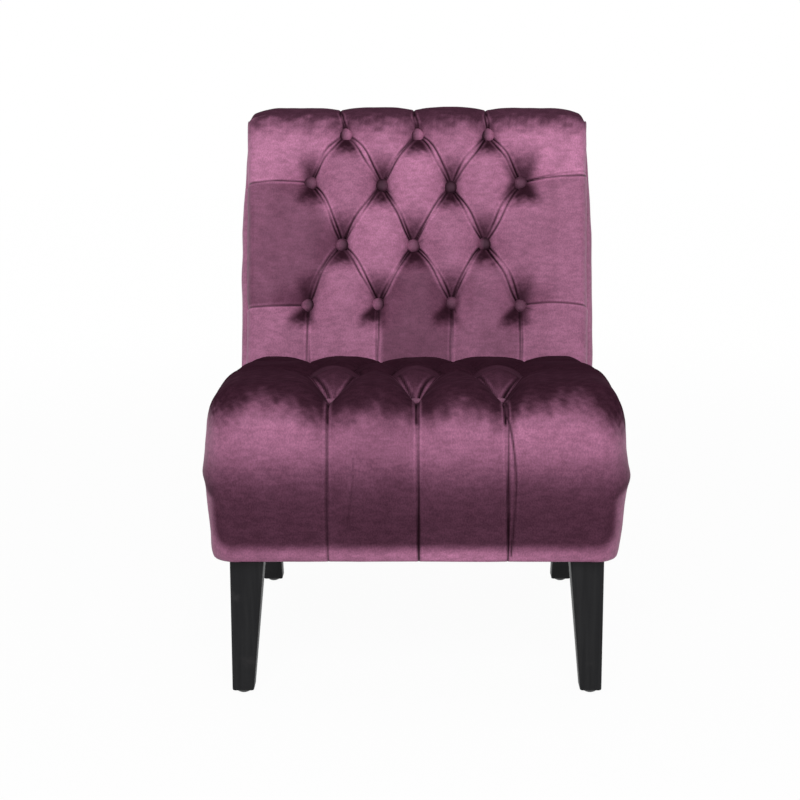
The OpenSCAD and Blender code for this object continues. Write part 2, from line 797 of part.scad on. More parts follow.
// Webbing of the back: upright and level straps on the front of the cross rails
module back_webbing() {
    x1 = rail_in - web_w / 2;
    span = post_top - tuck_rail_w;
    color("#b59b6a")
    on_back()
        translate([0, -post_back - post_d - web_t - snug, 0]) {
            for (k = upright_web_share)
                translate([x1 * k - web_w / 2, 0, tuck_rail_w])
                    cube([web_w, web_t, span]);
            for (k = level_web_share)
                translate([-frame_hw + snug, 0, tuck_rail_w + span * k - web_w / 2])
                    cube([2 * (frame_hw - snug), web_t, web_w]);
        }
}

// Foam of the back, in front of the webbing
back_foam_y = -post_back - post_d - web_t - 2 * slip;
function back_ties() = [for (i = [0 : last_row]) for (x = row_x(back_counts[i]))
    [x, back_l - back_rows[i]]];
module back_foam() {
    color("#e9dfb4")
    on_back()
        difference() {
            translate([-frame_hw, -back_t + wrap_t + slip, tuck_w])
                cube([2 * frame_hw, back_foam_y + back_t - wrap_t - slip, post_top - tuck_w]);
            for (p = back_ties())
                translate([p[0], 0, p[1]])
                    rotate([90, 0, 0])
                        cylinder(h = back_t, d = tie_bore, $fn = 24);
        }
}

// The velvet inside back with its wadding, drawn over the top to the rear edge
module inside_back_cover() {
    color("#9c6486")
    difference() {
        tufted_block(back_front_patch, back_top_patch, back_side_patch(-1), back_side_patch(1), true);
        on_back()
            translate([-chair_w, -back_t + wrap_t, -over])
                cube([2 * chair_w, back_t, back_l - wrap_t + over]);
    }
}
module back_buttons() {
    color("#7a4a64")
    for (p = back_ties())
        translate(back_point(p[0], back_l - p[1], back_t, p[0], back_l - p[1])[0])
            rotate([90 - rake, 0, 0])
                translate([0, 0, seat_on_walls(back_tuft, back_reach)])
                    button();
}
module back_button_ties() {
    color("#e8e4da")
    on_back()
        for (p = back_ties())
            translate([p[0], -back_t + wrap_t + 2 * slip, p[1]])
                rotate([-90, 0, 0])
                    cylinder(h = back_foam_y + back_t - wrap_t - 2 * slip, d = twine_d, $fn = 16);
}

// Side band: a flat pad on the side of the back, crowned outwards below the top corner
band_top = back_l - wrap_t - slip;
band_low = -back_t * tan(rake) - over;
band_fade = 3.2;
edge_share = 0.6;
edge_power = 6;
band_cells = [6, 14];
function band_out(a, b) =
    back_hw + band_crown * sqrt(sin(180 * a)) * min(1, (1 - b) * band_fade)
    - band_crown * edge_share * pow(abs(2 * a - 1), edge_power);
module side_band(s) {
    na = band_cells[0];
    nb = band_cells[1];
    y0 = -back_t + slip;
    y1 = -velvet_t - slip;
    in_x = frame_hw + slip;
    outer = [for (j = [0 : nb]) for (i = [0 : na])
        [s * band_out(i / na, j / nb), y0 + (y1 - y0) * i / na,
         band_low + (band_top - band_low) * j / nb]];
    inner = [for (j = [0 : nb]) for (i = [0 : na])
        [s * in_x, y0 + (y1 - y0) * i / na, band_low + (band_top - band_low) * j / nb]];
    w = na + 1;
    n = w * (nb + 1);
    cells = [for (j = [0 : nb - 1]) for (i = [0 : na - 1])
        [j * w + i, j * w + i + 1, j * w + w + i + 1, j * w + w + i]];
    rim = concat([for (i = [0 : na]) i], [for (j = [1 : nb]) j * w + na],
                 [for (i = [na - 1 : -1 : 0]) nb * w + i], [for (j = [nb - 1 : -1 : 1]) j * w]);
    faces = concat(
        [for (c = cells) for (f = [[c[0], c[2], c[1]], [c[0], c[3], c[2]]]) f],
        [for (c = cells) for (f = [[c[0], c[1], c[2]], [c[0], c[2], c[3]]]) f + [n, n, n]],
        [for (k = [0 : len(rim) - 1]) let (a = rim[k], b = rim[(k + 1) % len(rim)])
            for (f = [[a, b, b + n], [a, b + n, a + n]]) f]);
    color("#85506f")
    difference() {
        intersection() {
            on_back()
                polyhedron(points = concat(outer, inner),
                           faces = s > 0 ? faces : [for (f = faces) flip(f)], convexity = 6);
            above_frame();
        }
        on_back()
            translate([-chair_w, -back_t - over, tuck_w - slip])
                cube([2 * chair_w, wrap_t + slip + over, back_l]);
    }
}

// The plain velvet panel of the outside back
module outside_back() {
    color("#7d4b68")
    intersection() {
        on_back()
            translate([-back_hw, -velvet_t, -back_t])
                cube([2 * back_hw, velvet_t, back_l - wrap_t - slip + back_t]);
        above_frame();
    }
}

// Thin cloth under the frame, cut out round the legs
module dust_cover() {
    z0 = clear_h - dust_t - snug;
    hw = frame_hw - dust_inset;
    color("#1a1a1a")
    difference() {
        translate([-hw, frame_front + dust_inset, z0])
            cube([2 * hw, frame_rear - frame_front - 2 * dust_inset, dust_t]);
        for (s = [left, right]) {
            x0 = s > 0 ? front_leg_x - slip : -frame_hw - over;
            x1 = s > 0 ? rear_leg_x - slip - over : -frame_hw - over - rear_leg_out;
            translate([x0, frame_front - over, z0 - over])
                cube([front_leg_top + slip + over, front_leg_top + slip + over, dust_t + 2 * over]);
            translate([x1, rear_leg_y - rear_leg_d - over, z0 - over])
                cube([rear_leg_w + slip + 2 * over, rear_leg_d + 2 * over, dust_t + 2 * over]);
        }
    }
}

front_leg(left);  // front_leg_left
front_leg(right);  // front_leg_right
rear_leg(left);  // rear_leg_left
rear_leg(right);  // rear_leg_right
glide(front_foot, left);  // glide_front_left
glide(front_foot, right);  // glide_front_right
glide(rear_foot, left);  // glide_rear_left
glide(rear_foot, right);  // glide_rear_right
hanger_bolts();
tee_nuts();
threaded_inserts();
front_rail();
rear_rail();
side_rail(left);  // side_rail_left
side_rail(right);  // side_rail_right
front_corner_blocks();
rear_corner_blocks();
back_post(left);  // back_post_left
back_post(right);  // back_post_right
cross_rail(top_rail_w);  // back_top_rail
cross_rail(middle_rail_w);  // back_middle_rail
cross_rail(tuck_rail_w);  // back_tuck_rail
frame_screws();
seat_springs();
spring_clips();
seat_deck_pad();
seat_foam();
seat_cover();
seat_buttons();
seat_button_ties();
back_webbing();
back_foam();
inside_back_cover();
back_buttons();
back_button_ties();
side_band(left);  // side_band_left
side_band(right);  // side_band_right
outside_back();
dust_cover();
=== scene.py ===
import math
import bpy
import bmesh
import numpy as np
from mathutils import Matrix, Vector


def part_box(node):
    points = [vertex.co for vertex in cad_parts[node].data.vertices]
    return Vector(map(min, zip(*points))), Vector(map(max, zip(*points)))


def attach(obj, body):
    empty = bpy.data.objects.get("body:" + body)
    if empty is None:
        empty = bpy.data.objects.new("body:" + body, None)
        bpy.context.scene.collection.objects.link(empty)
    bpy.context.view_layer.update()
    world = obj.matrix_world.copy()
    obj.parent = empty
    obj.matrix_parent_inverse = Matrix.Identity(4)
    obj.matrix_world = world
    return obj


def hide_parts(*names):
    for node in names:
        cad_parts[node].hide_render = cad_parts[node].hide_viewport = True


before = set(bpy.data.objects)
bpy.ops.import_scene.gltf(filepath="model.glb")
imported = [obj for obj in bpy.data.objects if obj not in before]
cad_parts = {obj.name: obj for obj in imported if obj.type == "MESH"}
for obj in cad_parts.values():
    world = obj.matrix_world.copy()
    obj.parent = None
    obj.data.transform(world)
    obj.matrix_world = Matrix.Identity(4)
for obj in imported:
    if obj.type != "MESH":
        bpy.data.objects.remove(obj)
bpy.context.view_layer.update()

# %% [markdown]
# # An armless slipper chair in plum velvet
# The chair is a deep-buttoned seat block and a raked, buttoned back on a hidden wooden frame,
# standing on four black tapered legs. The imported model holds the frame. This lesson makes the
# parts that are seen: velvet covers, buttons, side bands, legs and the cloth underneath.
# Sizes are kept in millimetres, as in a workshop drawing, and turned into metres only when a
# mesh is made.

MM = 0.001
CHAIR_W, CHAIR_D, CHAIR_H = 580.0, 748.0, 791.0
CLEAR = 197.0  # height of the frame's underside
RAKE = math.radians(13.8)  # how far the back leans from upright
COS, SIN = math.cos(RAKE), math.sin(RAKE)
BACK_HW, BACK_T = 282.0, 110.0  # half the back's width, and its thickness
TOP_R, FRONT_R, SIDE_R, REAR_R = 34.0, 30.0, 14.0, 14.0
CREST, SEAT_REAR = 438.0, 391.0  # the seat's height near its nose and at the back
SEAT_HW, NOSE_Y = CHAIR_W / 2, -CHAIR_D / 2
FRAME_HW, FRAME_FRONT = 257.0, NOSE_Y + 35.0
TUFT_S, TUFT_P = 118.0, 100.0  # button spacing across, and from row to row
VELVET_T, SLIP, WRAP, TUCK = 3.0, 0.3, 30.0, 100.0
BACK_L = (CHAIR_H - CLEAR - 80.0 * SIN - math.hypot(FRONT_R * SIN, TOP_R * COS)) / COS + TOP_R
BACK_Y = CHAIR_D / 2 - BACK_L * SIN
JOIN_Y = BACK_Y + ((SEAT_REAR - CLEAR) * SIN - BACK_T) / COS
CREST_Y = NOSE_Y + 115.0 + TUFT_S / 2
SEAT_H, SEAT_D = CREST - CLEAR, JOIN_Y - NOSE_Y
REAR_L = BACK_L - WRAP - SLIP  # how high the bands and the outside back reach up the slope
rng = np.random.default_rng(7)
print("the back's slope is", round(BACK_L, 1), "mm long, the seat", round(SEAT_D, 1), "mm deep")

# %% [markdown]
# ## From a grid of numbers to a mesh
# A soft cover is a sheet, so its shape can be written as a function of two parameters, one
# across and one along. numpy works out the whole grid at once, and one call puts the points
# into the mesh. Sculpting could give the same folds, but a grid keeps them where the buttons
# are, and the sizes can be read and changed.

# %% Mesh helpers
def grid_faces(rows, cols, start=0):
    """Corner numbers of the squares of a rows by cols grid whose first point is start."""
    a = (np.arange(rows - 1)[:, None] * cols + np.arange(cols - 1)[None, :]).ravel() + start
    return np.stack([a, a + 1, a + cols + 1, a + cols], axis=1)


# The marks are painted shade, painted shade in the creases, and tone with painted light
MARKS = ("painted_shade", "crease", "tone_and_painted_light")
WELD = 0.02  # points nearer to each other than this become one


def with_marks(points, painted_shade=0.0, crease=0.0, tone_and_painted_light=0.0):
    """Adds three marks to each point: its painted shade, its painted shade in a crease, and its
    tone, darker below nought and paler above, which holds both random tone and painted light."""
    extra = [np.broadcast_to(m, points.shape[:-1])[..., None] for m in (painted_shade, crease, tone_and_painted_light)]
    return np.concatenate([points, *extra], -1)


def add_object(name, data):
    """A new object that holds data, linked into the scene."""
    held = bpy.data.objects.new(name, data)
    bpy.context.scene.collection.objects.link(held)
    return held


def make_piece(name, patches, material, rings=()):
    """Joins patches, each a grid of points in millimetres, and rings, each the points of one
    flat closing face, into one closed mesh whose faces point outwards. Marks of the points
    become attributes that a material can read."""
    points, faces, at = [], [], 0
    for patch in patches:
        rows, cols = patch.shape[:2]
        patch = patch if patch.shape[-1] > 3 else with_marks(patch)
        points.append(patch.reshape(-1, 6))
        faces += grid_faces(rows, cols, at).tolist()
        at += rows * cols
    for ring in rings:
        points.append(with_marks(ring[..., :3]))
        faces.append(list(range(at, at + len(ring))))
        at += len(ring)
    points = np.concatenate(points)
    mesh = bpy.data.meshes.new(name)
    mesh.from_pydata(points[:, :3] * MM, [], faces)
    for k, mark in enumerate(MARKS):
        layer = mesh.attributes.new(mark, "FLOAT", "POINT")
        layer.data.foreach_set("value", points[:, 3 + k].copy())
    work = bmesh.new()
    work.from_mesh(mesh)
    bmesh.ops.remove_doubles(work, verts=work.verts, dist=WELD * MM)
    bmesh.ops.recalc_face_normals(work, faces=work.faces)
    open_edges = sum(1 for e in work.edges if len(e.link_faces) != 2)
    work.to_mesh(mesh)
    work.free()
    mesh.polygons.foreach_set("use_smooth", np.ones(len(mesh.polygons), bool))
    mesh.materials.append(material)
    piece = add_object(name, mesh)
    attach(piece, "root")
    print(name, "has", len(mesh.vertices), "points and", open_edges, "open edges")
    return piece


def ripple(p, length, height, waves=9):
    """A seeded sum of plane waves in random directions: a gentle unevenness that depends only
    on where a point is, so it runs on across every seam."""
    total = np.zeros(p.shape[:-1])
    for _ in range(waves):
        way = rng.normal(size=3)
        way *= rng.uniform(0.6, 1.5) * 2 * math.pi / (length * np.linalg.norm(way))
        total += np.sin(p @ way + rng.uniform(0, 2 * math.pi))
    return height * total / math.sqrt(waves)


def edge_strips(outer, lining):
    """Four strips that join a sheet to its lining along their edges."""
    return [np.stack([outer[at], lining[at]]) for at in (np.s_[:, 0], np.s_[:, -1], 0, -1)]

# %% [markdown]
# ## Finishes
# Velvet is a short pile on a woven ground. Brushed one way it looks pale, and the other way
# almost black, which is why plum velvet shows so many tones. The colour has three layers: wide
# patches of tone; painted shade on the top, on the lower front, in the creases and round the
# buttons, with painted highlights beside the folds; and a fine grain. A sheen gives the pale rim
# that velvet has where it turns away.

# %% Material helpers
def new_material(name, **sockets):
    """A material with one Principled shader, whose sockets are set by name, and coordinates."""
    m = bpy.data.materials.new(name)
    m.use_nodes = True
    shader = m.node_tree.nodes["Principled BSDF"]
    for key, value in sockets.items():
        shader.inputs[key.replace("_", " ")].default_value = value
    return m, m.node_tree, shader, node(m.node_tree, "TexCoord")


def node(tree, kind, **values):
    """Adds a shader node of a kind. A value named like a socket goes to the socket, any other
    to the node."""
    n = tree.nodes.new("ShaderNode" + kind)
    for key, value in values.items():
        socket = next((s for s in n.inputs if s.name == key.replace("_", " ")), None)
        if socket is not None:
            socket.default_value = value
        else:
            setattr(n, key, value)
    return n


def noise(tree, where, scale, detail=3.0, stretch=(1, 1, 1), warp=0.0):
    """Noise on Object coordinates, stretched along x, y and z."""
    mapping = node(tree, "Mapping", Scale=stretch)
    tree.links.new(where.outputs["Object"], mapping.inputs["Vector"])
    n = node(tree, "TexNoise", Scale=scale, Detail=detail, Distortion=warp)
    tree.links.new(mapping.outputs["Vector"], n.inputs["Vector"])
    return n.outputs["Fac"]


def ramp(tree, value, low, high, a=(0, 0, 0, 1), b=(1, 1, 1, 1)):
    """Colour a below low, colour b above high, and smooth between."""
    r = node(tree, "ValToRGB")
    r.color_ramp.interpolation = "EASE"
    for stop, place, colour in zip(r.color_ramp.elements, (low, high), (a, b)):
        stop.position, stop.color = place, colour
    tree.links.new(value, r.inputs["Fac"])
    return r.outputs["Color"]


def feed(tree, pairs):
    """Gives each socket its value: the output of a node is linked, plain numbers are set."""
    for socket, value in pairs:
        if hasattr(value, "is_linked"):
            tree.links.new(value, socket)
        else:
            socket.default_value = value


def blend(tree, factor, a, b, how="MIX"):
    """Mixes two colours, each a socket or four numbers."""
    m = node(tree, "Mix", data_type="RGBA", blend_type=how)
    feed(tree, ((m.inputs[0], factor), (m.inputs[6], a), (m.inputs[7], b)))
    return m.outputs[2]


def reckon(tree, how, a, b=0.0, clamp=False):
    """One Math node on sockets or numbers."""
    m = node(tree, "Math", operation=how, use_clamp=clamp)
    feed(tree, ((m.inputs[0], a), (m.inputs[1], b)))
    return m.outputs[0]


def times(tree, a, b, clamp=False):
    """The product of two sockets or numbers."""
    return reckon(tree, "MULTIPLY", a, b, clamp)


def plus(tree, a, b, clamp=False):
    """The sum of two sockets or numbers."""
    return reckon(tree, "ADD", a, b, clamp)


def finish(tree, shader, tone, height, strength, distance):
    """Gives a shader its colour, and fine relief from a height."""
    tree.links.new(tone, shader.inputs["Base Color"])
    b = node(tree, "Bump", Strength=strength, Distance=distance)
    tree.links.new(height, b.inputs["Height"])
    tree.links.new(b.outputs["Normal"], shader.inputs["Normal"])


# Painted shade: the near-black tone painted into the creases
PAINTED_CREASE_SHADE = (0.012, 0.004, 0.007, 1)


def velvet_material(name, pale, deep, painted_shadow):
    """Plum velvet: pale and deep are the tones of the pile brushed up and down, and the third tone
    is a painted shade. The marks on the mesh say where shade and light are painted, and noise
    keeps every tone uneven. Where the shade is painted the velvet has no gloss, but a faint sheen
    stays on every edge that turns away."""
    m, tree, shader, where = new_material(
        name, Roughness=0.52, IOR=1.5, Sheen_Roughness=0.28, Sheen_Tint=(0.80, 0.36, 0.56, 1),
        Specular_Tint=(1.0, 0.55, 0.78, 1))
    painted_shade, crease, tone_and_painted_light_mark = (node(tree, "Attribute", attribute_name=mark).outputs["Fac"]
                         for mark in MARKS)
    patches = plus(tree, times(tree, noise(tree, where, 7, 4, warp=0.6), 0.45),
                   times(tree, noise(tree, where, 26, 4, (1, 1, 0.7), 0.4), 0.45))
    # The tone mark and the patches set the tone between deep and pale; the mark also holds painted
    # light
    tone_and_painted_light = plus(tree, plus(tree, patches, 0.05), tone_and_painted_light_mark, clamp=True)
    tone = blend(tree, tone_and_painted_light, deep, pale)
    # Painted shade: the shade mark mixes in the third tone, and the crease mark paints the creases
    # near black
    away = times(tree, painted_shade, 1.0, clamp=True)
    tone = blend(tree, away, tone, painted_shadow)
    tone = blend(tree, times(tree, crease, 1.3, clamp=True), tone, PAINTED_CREASE_SHADE)
    grain = noise(tree, where, 560, 2, (1, 1, 0.6))
    strokes = noise(tree, where, 150, 3, (0.4, 1, 1), 0.3)
    for fine, depth in ((grain, 0.15), (strokes, 0.13)):
        low, high = [(level, level, level, 1) for level in (1 - depth, 1 + depth)]
        tone = blend(tree, 1.0, tone, ramp(tree, fine, 0.3, 0.7, low, high), "MULTIPLY")
    gloss = reckon(tree, "POWER", reckon(tree, "SUBTRACT", 1.0, away), 2.0)
    tree.links.new(times(tree, gloss, 0.26), shader.inputs["Specular IOR Level"])
    tree.links.new(plus(tree, times(tree, gloss, 0.04), 0.02), shader.inputs["Sheen Weight"])
    wrinkles = noise(tree, where, 70, 4, (0.45, 1, 1), 0.6)
    relief = plus(tree, times(tree, wrinkles, 0.8), times(tree, grain, 0.2))
    finish(tree, shader, tone, relief, 0.25, 0.0012)
    return m


# Both velvets take painted shade and painted light from the marks of their meshes
PLUM = velvet_material("plum_velvet_painted_shade", (0.46, 0.180, 0.310, 1), (0.125, 0.042, 0.078, 1),
                       (0.030, 0.0095, 0.0175, 1))
PLUM_BUTTON = velvet_material("plum_velvet_button_painted_light", (0.32, 0.120, 0.210, 1),
                              (0.022, 0.007, 0.013, 1), (0.03, 0.010, 0.018, 1))
print("velvet is ready")

# %% [markdown]
# ## How a button pulls the cover
# A buttoned cover has a diamond pattern because the cloth between two buttons is folded into a
# pleat, and the stuffing swells on both sides of it. So each pleat is a line with a depth at its
# two ends and at its middle, and the cover sinks towards it. Near the line are two narrow
# creases, the edges of the folded cloth, which meet at the buttons.

# %% Pleats
def pleat(a, b, start, middle, end, reach, bow=0.0, fold=0.0, lap=0.0, crease=2.5, run=60.0):
    """One pleat from a to b: depth at its start, middle and end, how far it reaches, its
    sideways bow, half the width of the folded strip, the step of the lapped side, how deep
    its creases are, and the run over which the depth of its ends fades."""
    return (np.array(a, float), np.array(b, float), start, middle, end, reach, bow, fold, lap,
            crease, run)


def spots(n, shifts=None):
    """Places across for a row of n buttons, each moved a little as hand work is."""
    return (np.arange(n) - (n - 1) / 2) * TUFT_S + (np.array(shifts, float) if shifts else 0.0)


def diamonds(rows, deep, share, reach, bows, **more):
    """Pleats from each button to its neighbours in the next row. They leave the upper button
    flatter than a straight line would, so the diamonds are round-shouldered."""
    out = []
    for upper, lower in zip(rows, rows[1:]):
        for a in upper:
            for b in lower:
                if abs(a[0] - b[0]) < TUFT_S:
                    way = 1 if b[0] > a[0] else -1
                    out.append(pleat(a, b, deep, deep * share, deep, reach,
                                     bow=-way * rng.uniform(*bows),
                                     fold=rng.uniform(1.8, 4.6), **more))
    return out


def unit(x):
    """x, kept between nought and one."""
    return np.clip(x, 0, 1)


def fade(x):
    """One at nought, nought from one on, and smooth between."""
    x = unit(x)
    return (1 - x) ** 2 * (1 + 2 * x)


def bell(x, at, wide):
    """One at x = at, falling off on both sides as a bell does."""
    return np.exp(-((x - at) / wide) ** 2)


JOIN = 8  # the power of the mean that joins the pleats' depths
LIP = 3.2  # how far a lip lies outside its crease
LAP_REACH = 9.0  # how far the step of a lapped side reaches
# The crease depth at which the painted crease shade is darkest
CREASE_OF_FULL_SHADE = 2.2  # a crease as deep as this is as dark as can be
DEEP_TUFT = 15  # short folds fan out only from tufts deeper than this
FUNNEL_R, SOFT = 10.5, 1.2  # the sink round a button, and how softly depth is capped


def gathered(u, v, pleats, buttons, power, cap, funnel):
    """Depth of the cover at points u, v of the unfolded cloth, the painted shade of each point in
    a crease, and the painted highlight where it stands on a lip beside one. Each pleat sinks the
    cover by its own depth times (1 - distance / reach) to a power. The depths are joined by a high
    power mean, so ridges stay round. Two narrow grooves run along the folded strip's edges, one
    stronger than the other, and a few short folds fan out from each button along its pleats."""
    broad, narrow = np.zeros(u.shape), np.zeros(u.shape)
    dark, lip_highlights = np.zeros(u.shape), np.zeros(u.shape)
    for a, b, start, middle, end, reach, bow, fold, lap, crease, run in pleats:
        ab = b - a
        long = math.hypot(*ab)
        across = np.array([-ab[1], ab[0]]) / long
        raw = ((u - a[0]) * ab[0] + (v - a[1]) * ab[1]) / long ** 2
        t = unit(raw)
        hump = 4 * t * (1 - t)
        bent = bow * np.sin(math.pi * t ** 0.75)
        du = u - a[0] - t * ab[0] - across[0] * bent
        dv = v - a[1] - t * ab[1] - across[1] * bent
        gap = np.hypot(du, dv)
        side = du * across[0] + dv * across[1]
        near, far = fade(t * long / run), fade((1 - t) * long / run)
        deep = np.maximum(middle + (start - middle) * near, middle + (end - middle) * far)
        broad += (deep * unit(1 - gap / reach) ** power) ** JOIN
        inside = unit(1 - np.abs(raw - t) * long / 6)
        p1, p2, p3, p4 = rng.uniform(0, 2 * math.pi, 4)
        left = fold * hump ** 0.6 * (1 + 0.4 * np.sin(8 * t + p1))
        right = fold * hump ** 0.6 * (1 + 0.4 * np.sin(7 * t + p2))
        ends = 0.88 + 0.12 * np.cos(2 * math.pi * t)
        strong = (0.84 + 0.16 * np.sin(7 * t + p3)) * ends
        weak = (0.52 + 0.38 * np.sin(9 * t + p4)) * ends
        if rng.random() < 0.5:
            strong, weak = weak, strong
        groove = inside * np.maximum(strong * bell(side, left, 1.55),
                                     weak * bell(side, -right, 1.4))
        strip = bell(side, (left - right) / 2, 0.3 * (left + right) + 0.6)
        strip = strip * inside * unit(6 * hump) * (fold > 0)
        rim = np.maximum(bell(side, left + LIP, 1.6), bell(side, -right - LIP, 1.6)) * inside
        step = lap * np.exp(-np.abs(side) / LAP_REACH) * np.where(side > 0, -1.0, 0.35)
        step = step * unit(gap / 2.5)
        narrow = narrow + crease * (groove - 0.3 * strip - 0.12 * rim) + step * inside * (gap < 40)
        # Painted shade in the grooves, and painted highlights on the lips and the folded strip
        # beside them
        strength = min(1.0, crease / CREASE_OF_FULL_SHADE)
        dark = np.maximum(dark, groove * strength)
        lip_highlights = np.maximum(lip_highlights, np.maximum(strip, 0.85 * rim) * strength * hump ** 0.6)
        for place, way, tuft in ((a, ab, start), (b, -ab, end)):
            if tuft <= DEEP_TUFT:
                continue
            turn = math.atan2(way[1], way[0]) + rng.choice((-1, 1)) * rng.uniform(0.16, 0.50)
            x, y, cos, sin = u - place[0], v - place[1], math.cos(turn), math.sin(turn)
            ahead, off = x * cos + y * sin, y * cos - x * sin
            ray = fade((ahead - 12) / rng.uniform(14, 26))
            ray = bell(off, 0.0, 1.4) * ray * unit((ahead - 6) / 5)
            narrow = narrow + 0.8 * ray
            # Painted shade along each short fold
            dark = np.maximum(dark, rng.uniform(0.15, 0.45) * ray)
    depth = broad ** (1 / JOIN)
    for x, y in buttons:
        depth = depth + funnel * bell(np.hypot(u - x, v - y), 0, FUNNEL_R)
    capped = -SOFT * np.logaddexp(-(depth + narrow) / SOFT, -cap / SOFT)
    return capped, dark, lip_highlights * unit(1 - dark)


def uneven(u, v, *sizes):
    """A seeded unevenness of the unfolded cloth: a ripple of each length and height."""
    return sum(ripple(np.stack([u, v, 0 * u], -1), *size) for size in sizes)


def soft_marks(u, v, places):
    """Sum of soft round marks, each an x, a v, its two half sizes and its strength."""
    total = np.zeros(u.shape)
    for x, y, wide, tall, strength in places:
        total += strength * np.exp(-((u - x) / wide) ** 2 - ((v - y) / tall) ** 2)
    return total


# %% [markdown]
# ## The seat cover
# The seat's cover runs over the top, down the nose and down both sides in one piece. Each of
# its sheets is a face of a plain box, whose points move to the nearest place on a rounded one.
# Then the buttons pull it in, and the sides and the nose draw in towards the frame, as stapled
# cloth does.

# %% Seat cover
SEAT_Y = [NOSE_Y + 115.0 + i * TUFT_P for i in range(4)]
SEAT_ROWS = [[(x, y) for x in spots(n)] for n, y in zip((3, 4, 3, 4), SEAT_Y)]
SEAT_SPOTS = sum(SEAT_ROWS, [])
seat_pleats = diamonds(SEAT_ROWS, 41.0, 0.33, 50.0, (-2.0, 2.0), run=68.0)
for x, lean, fold, crease in zip(spots(3), (-2.0, 4.0, 8.0), (1.0, 1.3, 1.4), (1.6, 2.4, 2.0)):
    seat_pleats += [pleat((x, SEAT_Y[0]), (x + lean, NOSE_Y - SEAT_H), 42, 1, 1, 50,
                          fold=fold, crease=crease, run=185),
                    pleat((x, NOSE_Y + 8), (x + 0.2 * lean, NOSE_Y - 44), 0, 0, 0, 10,
                          crease=5, run=30)]
# Two creases of the nose that start from no button
seat_pleats += [pleat((121, NOSE_Y - 34), (130, NOSE_Y - 230), 0, 0, 0, 10, bow=9, crease=1.7),
                pleat((-84, NOSE_Y - 95), (-92, NOSE_Y - 180), 0, 0, 0, 10, bow=2, crease=0.6)]
seat_pleats += [pleat((s * TUFT_S * 1.5, y), (s * (SEAT_HW + SEAT_H), y), 30, 3, 2, 50,
                      lap=s * 1.2, run=150) for y in (SEAT_Y[1], SEAT_Y[3]) for s in (-1, 1)]
seat_pleats += [pleat((x, SEAT_Y[3]), (x, JOIN_Y), 40, 9, 9, 50, fold=2.5, run=70)
                for x in spots(4)]
# Where the painted shade of the top ends, as a height for each distance from the middle, and
# how much painted shade the nose gets at each height above the frame
SHADE_EDGE_U = (0, 25, 59, 93, 118, 140, 165, 195, 224, 242, 259, 276, 290)
SHADE_EDGE_Z = (389, 398, 407, 398, 389, 398, 406, 413, 413, 404, 391, 381, 377)
NOSE_RISE = (0, 38, 65, 92, 106, 119, 133, 146, 160, 175)
NOSE_PAINTED_SHADE = (0.84, 0.86, 0.86, 0.80, 0.73, 0.60, 0.42, 0.20, 0.05, 0)
# How much paler, as painted light, the pads behind the first buttons are, at each distance behind
# the buttons
CUP_V = (-8, 0, 12, 28, 60, 88, 104)
CUP_PAINTED_LIGHT = (0, 0.40, 0.38, 0.17, 0.06, 0.07, 0)
# Where the nose is made paler or darker: place, half sizes and strength. The long mark along the
# bottom is painted light on the lowest edge.
NOSE_TONES_AND_PAINTED_LIGHT = [(142, NOSE_Y - 42, 14, 26, 0.35), (-59, NOSE_Y - 50, 34, 30, -0.12),
              (-190, NOSE_Y - 60, 40, 30, 0.08), (215, NOSE_Y - 55, 40, 30, 0.08),
              (60, NOSE_Y - 236, 170, 16, 0.30)]
SEAT_R = (45.0, 60.0, 58.0)  # how far the seat's edges are rounded across, back and down
BULGE = 115.0  # height above the frame at which the sides stand out most


def seat_top(y):
    """Height of the plain top: level to the crest, then falling evenly to the back."""
    return CREST - (CREST - SEAT_REAR) * unit((y - CREST_Y) / (JOIN_Y - CREST_Y))


def back_face(z):
    """Where the back's front face is at a height z."""
    return BACK_Y + ((z - CLEAR) * SIN - BACK_T) / COS


